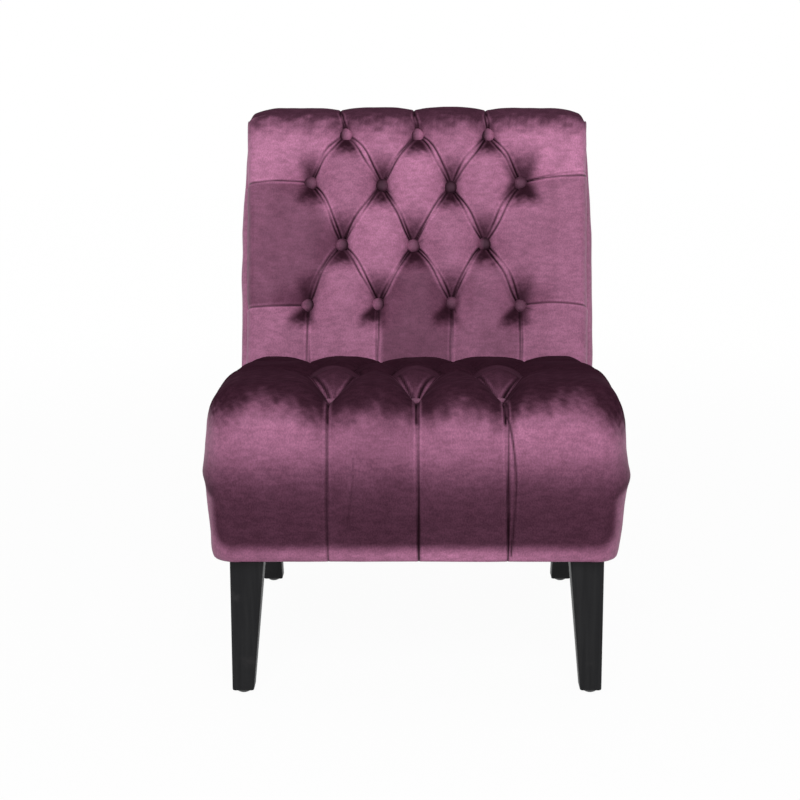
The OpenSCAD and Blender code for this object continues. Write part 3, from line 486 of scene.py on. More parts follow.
def seat_skin(x, y, z, u, v):
    """A point of the seat's skin, from a point x, y, z of its plain box and u, v of the
    unfolded cloth. The box's edges are rounded by ellipses, the top is lowered to its slope,
    the pleats move the point inwards along the surface's direction, and below half height the
    sides and nose draw in."""
    rx, ry, rz = SEAT_R
    c = np.stack([np.clip(x, rx - SEAT_HW, SEAT_HW - rx), np.maximum(y, NOSE_Y + ry),
                  np.minimum(z, CREST - rz)], -1)
    q = (np.stack([x, y, z], -1) - c) / SEAT_R
    n = q / np.linalg.norm(q, axis=-1, keepdims=True)
    e = c + n * SEAT_R
    deep, dark, lip_highlights = gathered(u, v, seat_pleats, SEAT_SPOTS, 2.1, 43.0, 3.0)
    deep = deep + ripple(e, 90, 0.7) + ripple(e, 28, 0.16)
    p = e.copy()
    p[..., 2] = CLEAR + (e[..., 2] - CLEAR) * (seat_top(e[..., 1]) - CLEAR) / SEAT_H
    p = p - deep[..., None] * n
    rise = p[..., 2] - CLEAR
    low = np.clip(1 - rise / (SEAT_H * 0.48), 0, None)
    near = np.clip(1 - (p[..., 1] - NOSE_Y) / SEAT_D, 0, None)
    far = (y - NOSE_Y) / SEAT_D
    roll = 1 - np.sqrt(unit(1 - unit(1 - rise / 14.0) ** 2))
    taper = unit((rise - 0.5 * SEAT_H) / (0.3 * SEAT_H))
    corner = unit(2 * np.abs(n[..., 0] * n[..., 1])) * (y < 0) * unit(1 - rise / 80.0)
    point = bell(rise, BULGE - 4.0 * np.sign(x), 13.0) * near ** 3
    # At the frame, at its rolled edge, below the crest, at the fullest height and at the corners
    drawn = 11.0 * low ** 1.3 + 2.5 * roll + 5.0 * taper - 3.5 * point - 2.0 * corner
    p[..., 0] -= drawn * np.sign(x) * (np.abs(p[..., 0]) / SEAT_HW) ** 3 + 1.5 * near
    p[..., 1] += (15.0 * low ** 2.2 + 3.5 * roll) * near ** 4 - 6.0 * corner
    p[..., 1] += far * (back_face(p[..., 2]) - SLIP - JOIN_Y)
    p[..., 2] = np.maximum(p[..., 2], CLEAR)
    ragged = uneven(u, v / 2, (50, 3.5), (18, 3.0), (8, 2.0))
    edge = np.interp(np.abs(u), SHADE_EDGE_U, SHADE_EDGE_Z)
    edge = edge + 7.0 * fade((SEAT_HW - np.abs(u)) / 40) * (1.5 - np.sign(u))
    # Painted shade over the top, down to a ragged edge, and on every face turned up
    top = 1 - fade((e[..., 2] + ragged - edge) / 48.0 + 0.5)
    top = np.maximum(top, 1 - fade((n[..., 2] - 0.85) / 0.12))
    top = top * (1 - (0.03 + 0.01 * uneven(u, v, (16, 1.0))) * fade((y - NOSE_Y - 90) / 90))
    # Painted shade on the lower nose, left off its side rims and its bottom edge
    over = np.clip((np.abs(n[..., 0] + 0.04) - 0.15) / 0.72, 0, 1.2)
    over = over * unit((118 - rise) / 30)
    under = np.clip((48.0 - rise) / 36.0, 0, 1.2)
    lower = np.interp(rise, NOSE_RISE, NOSE_PAINTED_SHADE) * fade((np.hypot(over, under) - 0.50) / 0.55)
    lower = lower * unit(-3.0 * n[..., 1])
    # Painted highlights beside the folds end behind the first buttons, and painted light lifts the
    # shade on the pads behind them
    behind = v - SEAT_Y[0]
    lip_highlights = lip_highlights * fade((behind - 25) / 30)
    off = np.min(np.abs(u[..., None] - spots(3)), -1)
    cup_light = np.interp(behind, CUP_V, CUP_PAINTED_LIGHT) * fade((off - 0.5 * behind - 2.0) / 8.0 + 0.5)
    painted_shade = np.maximum(top * (1 - 0.42 * lip_highlights - cup_light), lower)
    # Tone and painted light: the nose's marks, and painted highlights on the lips
    tone_and_painted_light_mark = soft_marks(u, v, NOSE_TONES_AND_PAINTED_LIGHT) + 0.25 * lip_highlights - 0.10
    return with_marks(p, painted_shade, dark, tone_and_painted_light_mark)


def same_draws(skin):
    """A function that makes sheets of a skin. Every sheet uses the same random draws, so two
    sheets meet without a step."""
    state = rng.bit_generator.state

    def sheet(*grids):
        rng.bit_generator.state = state
        return skin(*np.broadcast_arrays(*grids))
    return sheet


def stations(a, b, step):
    """Evenly spaced values from a to b, about step apart."""
    return np.linspace(a, b, int(round(abs(b - a) / step)) + 1)


col = stations(-SEAT_HW, SEAT_HW, 2.1)[None, :]
row = stations(NOSE_Y, JOIN_Y, 2.3)[:, None]
drop = stations(0, SEAT_H, 2.1)[:, None]
seat_sheet = same_draws(seat_skin)
top = seat_sheet(col, row, CREST, col, row)
nose = seat_sheet(col, NOSE_Y, CREST - drop, col, NOSE_Y - drop)
sides = [seat_sheet(s * SEAT_HW, row, CREST - drop.T, s * (SEAT_HW + drop.T), row)
         for s in (-1, 1)]

# The hollow for foam and frame: its side view, carried across the chair
WADDING, BEVEL = 46.0, 20.0
hollow_x, hollow_y = FRAME_HW + 1.0, FRAME_FRONT - 1.0
rear_z = SEAT_REAR - WADDING
rear_top, rear_low = (float(back_face(z)) - SLIP for z in (rear_z, CLEAR))
outline = [(hollow_y, CLEAR), (hollow_y, CREST - WADDING - BEVEL),
           (hollow_y + BEVEL, CREST - WADDING), (CREST_Y, CREST - WADDING), (rear_top, rear_z)]
wall = [np.array([[s * hollow_x, y, z] for y, z in outline]) for s in (-1, 1)]
ends = [np.array([[s * hollow_x, rear_low, CLEAR]]) for s in (-1, 1)]
under = np.concatenate([sides[0][::-1, -1, :3], nose[-1, 1:-1, :3], sides[1][:, -1, :3],
                        ends[1], wall[1][:1], wall[0][:1], ends[0]])
rear = np.concatenate([sides[0][-1, ::-1, :3], top[-1, 1:-1, :3], sides[1][-1, :, :3],
                       ends[1], wall[1][-1:], wall[0][-1:], ends[0]])
seat = make_piece("seat_velvet", [top, nose, *sides, np.stack(wall)], PLUM,
                  [under, rear, *(np.concatenate(pair) for pair in zip(wall, ends))])
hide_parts("seat_cover")

# %% [markdown]
# ## The inside back
# The inside back is a thick pad on the front of the frame. Its cover is drawn over the top
# to the rear and round the front edges to the side bands. It is worked out in the back's own
# frame: x across, v down from the top edge, and h out from the rear face. It is then leant back.

# %% Inside back
BACK_V = [48.0, 132.0, 232.0, 332.0]
# How far each button of each row is out of line, across and down
BACK_ACROSS = ((0, 1, 0), (1, 1, -3, -5), (-6, -6, -6), (-3, -5, -2, -6))
BACK_DOWN = ((0, 0, 0), (-3, 1, 4, -3), (0, 1.5, -1.5), (0.5, -1, -3, 1.5))
BACK_ROWS = [[(x, v + d) for x, d in zip(spots(len(across), across), down)]
             for v, across, down in zip(BACK_V, BACK_ACROSS, BACK_DOWN)]
BACK_SPOTS = sum(BACK_ROWS, [])
back_pleats = diamonds(BACK_ROWS, 21.0, 0.17, 48.0, (1.5, 8.0), run=62.0)
for (x, v), way in zip(BACK_ROWS[0], (-9, -6, -4)):
    back_pleats += [pleat((x, v), (x + way, -6), 17, 6, 6, 48, fold=1.8, crease=2.0, run=60),
                    pleat((x + way, -6), (x + way, -BACK_T), 6, 3, 3, 48, crease=1.6, run=60)]
for (x, v), down, bow in ((BACK_ROWS[1][0], 28, -10), (BACK_ROWS[1][3], -14, -7),
                          (BACK_ROWS[3][0], 18, -3), (BACK_ROWS[3][3], 28, -13)):
    s = 1 if x > 0 else -1
    back_pleats.append(pleat((x, v), (s * (BACK_HW + BACK_T), v + down), 21, 1, 1, 44, bow=s * bow,
                             fold=2.4 if down < 0 else 0, lap=s * 2.2, crease=2.4, run=75))
back_pleats += [pleat((x, v), (x + rng.uniform(-3, 3), BACK_L - TUCK), 20, 1, 1, 48,
                      fold=1.6, crease=1.6, run=60) for x, v in BACK_ROWS[3]]
# How far the painted shade above each button reaches, and by how much it is wider than at most
# buttons
SHADE_REACH = (50, 50, 50, 50, 50, 50, 66, 58, 60, 58, 50, 56, 56, 58)
SHADE_MORE = (0, 0, 0, 0, 0, 0, 10, 0, 0, 0, 0, 0, 0, 3)
# How much paler or darker each panel is made: its middle, half its width, its height above and
# below the middle, the levels that it stays between, and the strength, darker below nought
OPEN = 1e6
BACK_PANELS = [(-BACK_HW, 48, 164, OPEN, 233, -200, 130, 0.28),
               (BACK_HW, 48, 164, OPEN, 233, -200, 130, 0.40),
               (-BACK_HW, 232, 164, 278, 278, 130, 332, -0.45),
               (BACK_HW, 232, 164, 278, 278, 130, 332, -0.06),
               (BACK_HW, 232, 52, OPEN, OPEN, 130, 332, 0.10)]
for places, *sizes, strengths in (
        ((-59, 59), 48, 59, OPEN, 84, -200, 200, (0.18, 0.14)),
        ((-118, 0, 118), 132, 59, 84, 100, 0, 400, (-0.01, 0.24, 0.12)),
        ((-62, 56), 232, 59, 100, 100, 0, 400, (0.21, 0.0)),
        ((-120, -2, 114), 332, 59, 100, OPEN, 0, 700, (0.04, -0.52, -0.26))):
    BACK_PANELS += [(x, *sizes, strength) for x, strength in zip(places, strengths)]


def panel_tone(u, v):
    """How much paler or darker each point is made, from the panels that it lies in. Their levels
    follow the side pleats, which slope a little."""
    out = np.clip(np.abs(u) - 1.5 * TUFT_S, 0, None)
    upper, lower = np.where(u < 0, 0.01, -0.13), np.where(u < 0, 0.055, -0.03)
    v = v - out * np.where(v < BACK_V[2], upper, lower)
    total = np.zeros(u.shape)
    for x, y, half, above, below, low, high, strength in BACK_PANELS:
        d = np.abs(u - x) / half + np.maximum(y - v, 0) / above + np.maximum(v - y, 0) / below
        between = fade((low - v) / 6 + 0.5) * fade((v - high) / 6 + 0.5)
        total += strength * fade((d - 0.86) / 0.22) * between
    return total


def tuft_shade(u, v):
    """Painted shade above and below each button: in two wedges between its pleats, the upper one
    narrow and long, the lower one wide and short with a frayed edge, which drifts to one side in
    the lowest row. The outer buttons' wedges end more softly."""
    total = np.zeros(u.shape)
    rough = uneven(u, v, (14, 1.6), (7, 1.5))
    for (x, y), reach, more in zip(BACK_SPOTS, SHADE_REACH, SHADE_MORE):
        dx, dy = u - x, v - y
        if y > BACK_V[3] - 20:
            dx = dx + 10.0 * unit(dy / 20.0)
        half = more + np.where(dy < 0, 7.0 - 0.30 * dy, 9.0 + 0.42 * dy)
        soft = np.where((abs(x) > 150) & (dx * np.sign(x) > 0), 24.0, 18.0)
        shade = fade((np.abs(dx) - half) / soft + 0.5) * (0.93 + 0.07 * np.tanh(dy / 6.0))
        shade = shade * fade((-dy - rough - 12) / reach) * fade((dy + rough - 19) / 28)
        total = np.maximum(total, shade)
    return total


def lean(p):
    """Carries points x, depth, height in the back's own frame to their place on the chair."""
    return np.stack([p[..., 0], BACK_Y + p[..., 1] * COS + p[..., 2] * SIN,
                     CLEAR - p[..., 1] * SIN + p[..., 2] * COS], -1)


def back_skin(x, v, h, u, w):
    """A point of the inside back's skin from x, v, h of its plain box and u, w of the unfolded
    cloth. Its front edges are rounded, the pleats pull it in, and the top corners droop."""
    r = np.stack([SIDE_R + 0 * x, TOP_R + 0 * x, np.where(h < REAR_R, REAR_R, FRONT_R)], -1)
    c = np.stack([np.clip(x, SIDE_R - BACK_HW, BACK_HW - SIDE_R), np.maximum(v, TOP_R),
                  np.clip(h, REAR_R, BACK_T - FRONT_R)], -1)
    q = (np.stack([x, v, h], -1) - c) / r
    n = q / np.maximum(np.linalg.norm(q, axis=-1, keepdims=True), 1e-9)
    deep, dark, lip_highlights = gathered(u, w, back_pleats, BACK_SPOTS, 2.0, 27.5, 4.5)
    e = c + r * n
    deep = deep + ripple(e, 80, 0.5) + ripple(e, 26, 0.14)
    p = e - deep[..., None] * n
    side = np.clip(np.abs(p[..., 0]) - BACK_HW + 60.0, 0, None) / 60.0
    high = fade(v / WRAP)
    droop = (14.0 * side ** 2 + 2.5 * (p[..., 0] / BACK_HW) ** 2) * high
    p = lean(np.stack([p[..., 0], -p[..., 2], BACK_L - p[..., 1] - droop], -1))
    # Painted shade over the top roll and round the buttons
    ragged = uneven(u, w, (50, 4.0), (18, 4.0), (8, 2.0))
    roll = 0.90 * fade((w + ragged - 12.0) / 50.0)
    painted_shade = np.maximum(tuft_shade(u, w), roll)
    # Painted highlights on the lips lift the shade; the panels and the lips set the tone and
    # painted light
    return with_marks(p, painted_shade * (1 - 0.3 * lip_highlights), dark, panel_tone(u, w) + 0.34 * lip_highlights)


def side_sheet(s, v, h):
    """A sheet on side s of the back, from levels v and distances h from the rear face."""
    v, h = v[:, None], h[None, :]
    return back_sheet(s * BACK_HW, v, h, s * (BACK_HW + BACK_T - h), v)


back_sheet = same_draws(back_skin)
back_u = stations(-BACK_HW, BACK_HW, 1.7)
back_v = np.concatenate([stations(0, WRAP, 1.7), stations(WRAP, BACK_L - TUCK, 1.7)[1:]])
strip_h = stations(BACK_T, BACK_T - WRAP, 2.2)
ear_h = stations(BACK_T - WRAP, 0, 2.5)
lip_v = back_v[back_v <= WRAP + 0.01]
all_h = np.concatenate([ear_h[::-1], strip_h[::-1][1:]])[:, None]
col, row, low = back_u[None, :], back_v[:, None], lip_v[:, None]
face = back_sheet(col, row, BACK_T, col, row)
over = back_sheet(col, 0.0, all_h, col, all_h - BACK_T)
lip = back_sheet(col, low, 0.0, col, -BACK_T - low)
edges = [side_sheet(s, back_v, strip_h) for s in (-1, 1)]
ears = [side_sheet(s, lip_v, ear_h) for s in (-1, 1)]
k = len(lip_v) - 1
share = np.linspace(0, 1, len(back_u))
shelf = np.stack([ears[0][k] * (1 - f) + ears[1][k] * f for f in share], 1)
shelf[-1] = lip[k]
inner = np.concatenate([edges[0][k:, -1][::-1], shelf[0][1:-1], edges[1][k:, -1]])
foot = np.concatenate([edges[0][-1, ::-1], face[-1, 1:-1], edges[1][-1]])
inside_back = make_piece("inside_back_velvet", [face, over, lip, shelf, *edges, *ears], PLUM,
                         [inner, foot])
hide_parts("inside_back_cover")

# %% [markdown]
# ## Side bands and the outside back
# Each side of the back is finished with a narrow padded band, and its rear with one flat panel.
# They are sewn to the inside back, so their edges sink into a groove. The band is a
# crowned strip: its height across follows the root of a sine, which is full in the middle and
# steep at the seams.

# %% Side bands
def band_skin(s, a, b, inside=False):
    """A point of a side band. a runs from its front edge to its rear one, b from the frame's
    underside to the top. The front edge steps back where the inside back begins, at step_b."""
    front = np.where(b < 0, BACK_T - SLIP, BACK_T - WRAP - SLIP)
    b = np.abs(b)
    h = front + (VELVET_T + SLIP - front) * a
    low = -h * math.tan(RAKE)
    w = np.where(b < step_b, low + (TUCK - SLIP - low) * b / step_b, REAR_L * b)
    crown = 11.5 * np.clip(np.sin(math.pi * a), 0, None) ** 0.28 * np.minimum(1, (1 - b) * 3.2)
    out = BACK_HW + crown - 3.6 * np.abs(2 * a - 1) ** 6
    p = np.stack([s * out, -h, w], -1)
    p[..., 0] += s * ripple(lean(p), 60, 0.5)
    if inside:
        p[..., 0] = s * (FRAME_HW + SLIP)
    return lean(p)


step_b = (TUCK - SLIP) / REAR_L
band_a = np.sin(np.linspace(-1, 1, 25) * math.pi / 2) / 2 + 0.5
band_b = np.concatenate([-np.linspace(1e-6, step_b, 20), np.linspace(step_b, 1, 100)])
a, b = np.broadcast_arrays(band_a[None, :], band_b[:, None])
for s, word in ((1, "left"), (-1, "right")):
    outer = band_skin(s, a, b)
    lining = band_skin(s, a, b, True)
    band = make_piece("side_band_velvet_" + word,
                      [outer, lining, *edge_strips(outer, lining)], PLUM)
    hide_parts("side_band_" + word)

# %% Outside back
def panel_skin(x, w, inside=False):
    """The outside back: flat, a little fuller in the middle, with its edges turned in."""
    span = unit(w / REAR_L)
    full = 1.6 * (1 - (x / BACK_HW) ** 4) * unit(4 * span * (1 - span)) ** 0.5
    edge = np.minimum(BACK_HW - np.abs(x), np.minimum(REAR_L - w, w + 3.0))
    turned = 1.6 * np.exp(-np.clip(edge, 0, None) / 2.5)
    h = np.where(inside, VELVET_T + 0 * x, turned - full)
    low = -h * math.tan(RAKE)
    p = np.stack([x, -h, low + w * (REAR_L - low) / REAR_L], -1)
    return lean(p)


px, pw = np.broadcast_arrays(stations(-BACK_HW, BACK_HW, 5)[None, :],
                             stations(0, REAR_L, 5)[:, None])
outer, lining = panel_skin(px, pw), panel_skin(px, pw, True)
panel = make_piece("outside_back_velvet", [outer, lining, *edge_strips(outer, lining)], PLUM)
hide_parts("outside_back")

# %% [markdown]
# ## Covered buttons
# A covered button is a metal dome with a disc of the same velvet crimped round it. It is a
# profile turned about its axis. The radius has a faint wave near the rim, where the cloth is
# gathered under it, so it doesn't look like a plain ball.

# %% Buttons
def button_grid(radius, height):
    """Points of a covered button standing on z = 0: a dome whose radius follows a squashed
    circle, drawn in below the rim, at 0.3 of the profile, to a narrower foot."""
    t = np.linspace(0, 1, 16)[:, None]
    turn = np.linspace(0, 2 * math.pi, 41)[None, :]
    low = t / 0.3 * math.pi / 2
    high = unit((t - 0.3) / 0.7) * math.pi / 2
    r = np.where(t < 0.3, 0.62 + 0.38 * np.sin(low), np.cos(high) ** 0.72)
    z = np.where(t < 0.3, 0.42 * (1 - np.cos(low)), 0.42 + 0.58 * np.sin(high))
    r = r * (1 + 0.018 * np.sin(13 * turn) * bell(t, 0.25, 0.2))
    r[-1] = 0
    r, z = radius * r, height * z + 0 * r
    points = np.stack([r * np.cos(turn), r * np.sin(turn), z], -1)
    return np.concatenate([np.zeros_like(points[:1]), points])


def buttons(name, places, tones, slopes, axis, radius, height, old):
    """One mesh of buttons, each turned from the z axis to axis and carried to its place. Each
    is tipped a little, as hand-tied buttons are. Its velvet gets painted light or painted shade by
    its tone, and by its slope a painted lighter side, the right one where the slope is above
    nought."""
    patches = []
    for place, tone_and_painted_light_mark, slope in zip(places, tones, slopes):
        tip = (Vector(axis) + Vector(rng.uniform(-0.10, 0.10, 3))).normalized()
        turn = np.array(Vector((0, 0, 1)).rotation_difference(tip).to_matrix())
        grid = button_grid(radius, height)
        tone_and_painted_light_mark = tone_and_painted_light_mark + slope * grid[..., 0] / radius
        patches.append(with_marks(grid @ turn.T + place, 0, 0, tone_and_painted_light_mark))
    piece = make_piece(name, patches, PLUM_BUTTON)
    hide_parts(old)


back_seats = [back_sheet(x, v, BACK_T, x, v)[:3] for x, v in BACK_SPOTS]
out_way = (0, -COS, SIN)
# Painted light and shade: the buttons of the first row are painted pale, as if they catch the
# light, two of the second are painted dark, as if deep in shade, and each slope paints one side
# of a button lighter than the other
BUTTON_PAINTED_LIGHT = (0.06, 0.13, 0.10, -0.29, -0.49, -0.80, -0.31,
                -0.36, -0.12, -0.48, -0.24, -0.11, -0.27, -0.21)
BUTTON_PAINTED_SIDE_LIGHT = (0.90, 0.70, 1.00, 0.25, 0.20, -0.10, -0.05,
                 -0.40, -0.35, -0.60, -0.50, -0.60, 0.10, 0.08)
buttons("back_velvet_buttons", [p + 3.0 * np.array(out_way) for p in back_seats], BUTTON_PAINTED_LIGHT,
        BUTTON_PAINTED_SIDE_LIGHT, out_way, 11.0, 9.0, "back_buttons")
seat_seats = [seat_sheet(x, y, CREST, x, y)[:3] for x, y in SEAT_SPOTS]
# The seat's first-row buttons are painted a little paler and the others darker, with the painted
# shade of the top, and all get a slightly lighter right side
buttons("seat_velvet_buttons", [p + np.array([0, 0, 3.0]) for p in seat_seats],
        [0.05] * 3 + [-0.45] * 11, [0.1] * 14, (0, 0, 1), 10.0, 6.5, "seat_buttons")

# %% [markdown]
# ## Legs
# The legs are solid wood with a black satin lacquer. The front ones taper on their two inner
# faces only. The rear ones are sawn to a curve that kicks back. Each is a stack of rounded
# rectangles carried up the leg, with its edges eased as a router would.

# %% Lacquered wood
def lacquer_material():
    """Black satin lacquer, through which the grain of the wood shows faintly."""
    m, tree, shader, where = new_material("black_wood_lacquer", Roughness=0.45, IOR=1.24)
    grain = noise(tree, where, 9, 5, (14, 14, 0.9), 0.4)
    tone = ramp(tree, grain, 0.3, 0.75, (0.007, 0.007, 0.008, 1), (0.013, 0.013, 0.014, 1))
    rub = ramp(tree, noise(tree, where, 30, 3), 0.62, 0.8)
    tone = blend(tree, rub, tone, (0.020, 0.019, 0.020, 1))
    finish(tree, shader, tone, grain, 0.12, 0.0006)
    return m


BLACK = lacquer_material()


def rounded(hx, hy, r):
    """Points round a rectangle of half sizes hx and hy whose corners are arcs of radius r."""
    arc = np.linspace(0, math.pi / 2, 5)
    out = []
    for k, (sx, sy) in enumerate(((1, 1), (-1, 1), (-1, -1), (1, -1))):
        a = arc + k * math.pi / 2
        out.append(np.stack([sx * (hx - r) + r * np.cos(a), sy * (hy - r) + r * np.sin(a)], -1))
    return np.concatenate(out)


def leg(name, sections, old):
    """A leg from sections, each x, y of its middle, z, and half sizes: rounded rectangles
    joined up the leg and closed at both ends."""
    rings = []
    for x, y, z, hx, hy in sections:
        ring = rounded(hx, hy, min(2.6, hx, hy))
        rings.append(np.column_stack([ring[:, 0] + x, ring[:, 1] + y, np.full(len(ring), z)]))
    loft = np.stack(rings)
    loft = np.concatenate([loft, loft[:, :1]], 1)
    piece = make_piece(name, [loft], BLACK, [rings[0], rings[-1]])
    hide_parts(old)


LEG_LOW = 5.3  # where the wood of a leg ends and its glide begins
FRONT_W, FOOT_W = 47.0, 30.0  # a front leg's width at the top and at the foot
REAR_W, REAR_D, HEEL_D = 29.0, 50.0, 32.0  # a rear leg's width, and its depth at both ends
REAR_X = FRAME_HW + 1.0  # the outer face of the rear legs
FRAME_REAR = BACK_Y - (VELVET_T + SLIP) / COS
REAR_Y = FRAME_REAR - 27.0  # the rear face of the rear legs at the top
share = np.concatenate([[0, 0.004, 0.012], np.linspace(0.04, 1, 22)])
ease = np.array([1.6, 0.5, 0] + [0] * 22)
for s, word in ((1, "left"), (-1, "right")):
    front, rear = [], []
    for t, e in zip(share, ease):
        z = LEG_LOW + (CLEAR - LEG_LOW) * t
        w = FOOT_W + (FRONT_W - FOOT_W) * t
        front.append((s * (FRAME_HW - w / 2), FRAME_FRONT + w / 2, z, w / 2 - e, w / 2 - e))
        deep = HEEL_D + (REAR_D - HEEL_D) * t
        wide = REAR_W + 3.0 * (1 - t) ** 4
        kick = REAR_Y + 14.0 * (1 - t) ** 2
        rear.append((s * (REAR_X - REAR_W / 2), kick - deep / 2, z, wide / 2 - e, deep / 2 - e))
    leg("front_leg_lacquered_" + word, front, "front_leg_" + word)
    leg("rear_leg_lacquered_" + word, rear, "rear_leg_" + word)

# %% [markdown]
# ## The cloth underneath
# A thin black cloth is stretched under the frame and cut out round the legs, to keep dust from
# falling out of the stuffing. It is one grid with its corner squares left out, and a
# Solidify modifier gives it its thickness.

# %% Dust cover
def plain_cloth(name, a, b, rough=0.9, fine=700):
    """A matt cloth or felt whose colour wanders between a and b."""
    m, tree, shader, where = new_material(name, Roughness=rough, Specular_IOR_Level=0.25)
    weave = noise(tree, where, fine, 2)
    tone = ramp(tree, noise(tree, where, 24, 4), 0.35, 0.65, a, b)
    tone = blend(tree, 0.5, tone, ramp(tree, weave, 0.3, 0.7), "OVERLAY")
    finish(tree, shader, tone, weave, 0.3, 0.0004)
    return m


DUST = plain_cloth("dust_cloth_black", (0.012, 0.012, 0.013, 1), (0.022, 0.022, 0.024, 1))
lo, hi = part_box("dust_cover")
x0, y0, z0 = (v / MM for v in lo)
x1, y1, z1 = (v / MM for v in hi)
# Where the cloth is cut out round the front and the rear legs
ROOM = 1.0
cut_x, front_cut = FRAME_HW - FRONT_W - SLIP, FRAME_FRONT + FRONT_W + SLIP
rear_in = REAR_X - REAR_W - SLIP - ROOM
rear_cut, rear_end = REAR_Y - REAR_D - ROOM, REAR_Y + ROOM
xs = np.unique(np.concatenate([np.linspace(-cut_x, cut_x, 19), [x0, x1, -rear_in, rear_in]]))
ys = np.unique(np.concatenate([[y0, y1, front_cut, rear_cut, rear_end],
                               np.linspace(front_cut, rear_cut, 21)]))
gx, gy = np.meshgrid(xs, ys)
across, along = gx / x1, (gy - (y0 + y1) / 2) / ((y1 - y0) / 2)
sag = 3.5 * unit(1 - across ** 2) * unit(1 - along ** 2)
cloth_points = np.stack([gx, gy, (z0 + z1) / 2 - sag], -1)
quads = grid_faces(len(ys), len(xs))
mid = cloth_points.reshape(-1, 3)[quads].mean(1)
at_front = (mid[:, 1] < front_cut) & (np.abs(mid[:, 0]) > cut_x)
at_rear = (mid[:, 1] > rear_cut) & (mid[:, 1] < rear_end) & (np.abs(mid[:, 0]) > rear_in)
quads = quads[~(at_front | at_rear)]
mesh = bpy.data.meshes.new("dust_cloth")
used, again = np.unique(quads, return_inverse=True)
mesh.from_pydata(cloth_points.reshape(-1, 3)[used] * MM, [], again.reshape(quads.shape).tolist())
mesh.materials.append(DUST)
dust = add_object("dust_cloth", mesh)
thick = dust.modifiers.new("thickness", "SOLIDIFY")
thick.thickness, thick.offset = 0.0009, 0
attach(dust, "root")
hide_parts("dust_cover")

# %% [markdown]
# ## What is inside
# The foam blocks are hidden, but a cover that is taken off should show them, so each is a
# copy of its solid with its loose points merged and its edges eased by a Bevel modifier. The
# rest of the frame keeps its solids and gets a finish of its own.

# %% Foam and felt
FOAM = plain_cloth("cut_foam", (0.80, 0.70, 0.42, 1), (0.86, 0.78, 0.52, 1), 0.95, 380)
FELT = plain_cloth("grey_felt", (0.24, 0.22, 0.19, 1), (0.33, 0.30, 0.27, 1), 0.95, 260)


def eased(old, name, material, radius):
    """A copy of a soft solid, merged and bevelled."""
    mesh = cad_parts[old].data.copy()
    work = bmesh.new()
    work.from_mesh(mesh)
    bmesh.ops.remove_doubles(work, verts=work.verts, dist=1e-5)
    bmesh.ops.dissolve_limit(work, angle_limit=0.01, verts=work.verts, edges=work.edges)
    work.to_mesh(mesh)
    work.free()
    mesh.materials.clear()
    mesh.materials.append(material)
    piece = add_object(name, mesh)
    bevel = piece.modifiers.new("eased edges", "BEVEL")
    bevel.width, bevel.segments, bevel.limit_method = radius * MM, 2, "ANGLE"
    bevel.angle_limit = math.radians(50)
    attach(piece, "root")
    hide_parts(old)
    print(name, len(mesh.vertices), "points")


eased("seat_foam", "seat_foam_block", FOAM, 1.0)
eased("back_foam", "back_foam_slab", FOAM, 1.0)
eased("seat_deck_pad", "seat_felt_pad", FELT, 0.8)

# %% Wood, metal, webbing and twine
def wood_material(name, along):
    """Pale frame wood. Its grain is long in the direction where along is small."""
    m, tree, shader, where = new_material(name, Roughness=0.6)
    lines = noise(tree, where, 7, 5, along, 0.6)
    a, b = (0.50, 0.34, 0.19, 1), (0.62, 0.45, 0.27, 1)
    tone = ramp(tree, lines, 0.3, 0.7, a, b)
    pores = ramp(tree, noise(tree, where, 60, 3, along), 0.62, 0.72)
    dark = tuple(0.5 * c for c in a[:3]) + (1,)
    tone = blend(tree, times(tree, pores, 0.5), tone, dark)
    finish(tree, shader, tone, lines, 0.2, 0.0005)
    return m


def metal_material(name, colour, rough, metallic=1.0):
    """Metal, or dark plastic where metallic is nought, with a slightly dull surface."""
    m, tree, shader, where = new_material(name, Roughness=rough, Metallic=metallic)
    dull = noise(tree, where, 120, 4)
    dark = tuple(0.72 * c for c in colour[:3]) + (1,)
    finish(tree, shader, ramp(tree, dull, 0.3, 0.7, dark, colour), dull, 0.08, 0.0003)
    return m


LONG_X = wood_material("frame_wood_across", (0.6, 12, 12))
LONG_Y = wood_material("frame_wood_deep", (12, 0.6, 12))
LONG_Z = wood_material("frame_wood_upright", (12, 12, 0.6))
ZINC = metal_material("zinc_plated", (0.62, 0.63, 0.65, 1), 0.38)
SPRING = metal_material("spring_wire", (0.40, 0.41, 0.43, 1), 0.42)
BRASS = metal_material("insert_brass", (0.72, 0.55, 0.26, 1), 0.35)
GLIDE = metal_material("glide_dark", (0.018, 0.018, 0.020, 1), 0.45, 0.0)
WEB = plain_cloth("webbing_jute", (0.36, 0.26, 0.13, 1), (0.48, 0.36, 0.20, 1), 0.9, 300)
TWINE = plain_cloth("tufting_twine", (0.62, 0.58, 0.50, 1), (0.76, 0.73, 0.66, 1), 0.9, 500)
finishes = {
    LONG_X: ["front_rail", "rear_rail", "back_top_rail", "back_middle_rail", "back_tuck_rail"],
    LONG_Y: ["side_rail_left", "side_rail_right", "front_corner_blocks", "rear_corner_blocks"],
    LONG_Z: ["back_post_left", "back_post_right"],
    ZINC: ["hanger_bolts", "tee_nuts", "frame_screws"],
    SPRING: ["seat_springs", "spring_clips"],
    BRASS: ["threaded_inserts"],
    GLIDE: ["glide_front_left", "glide_front_right", "glide_rear_left", "glide_rear_right"],
    WEB: ["back_webbing"],
    TWINE: ["seat_button_ties", "back_button_ties"],
}
for material, names in finishes.items():
    for name in names:
        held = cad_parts[name]
        held.data.materials.clear()
        held.data.materials.append(material)
print(sum(len(n) for n in finishes.values()), "nodes keep their solids")

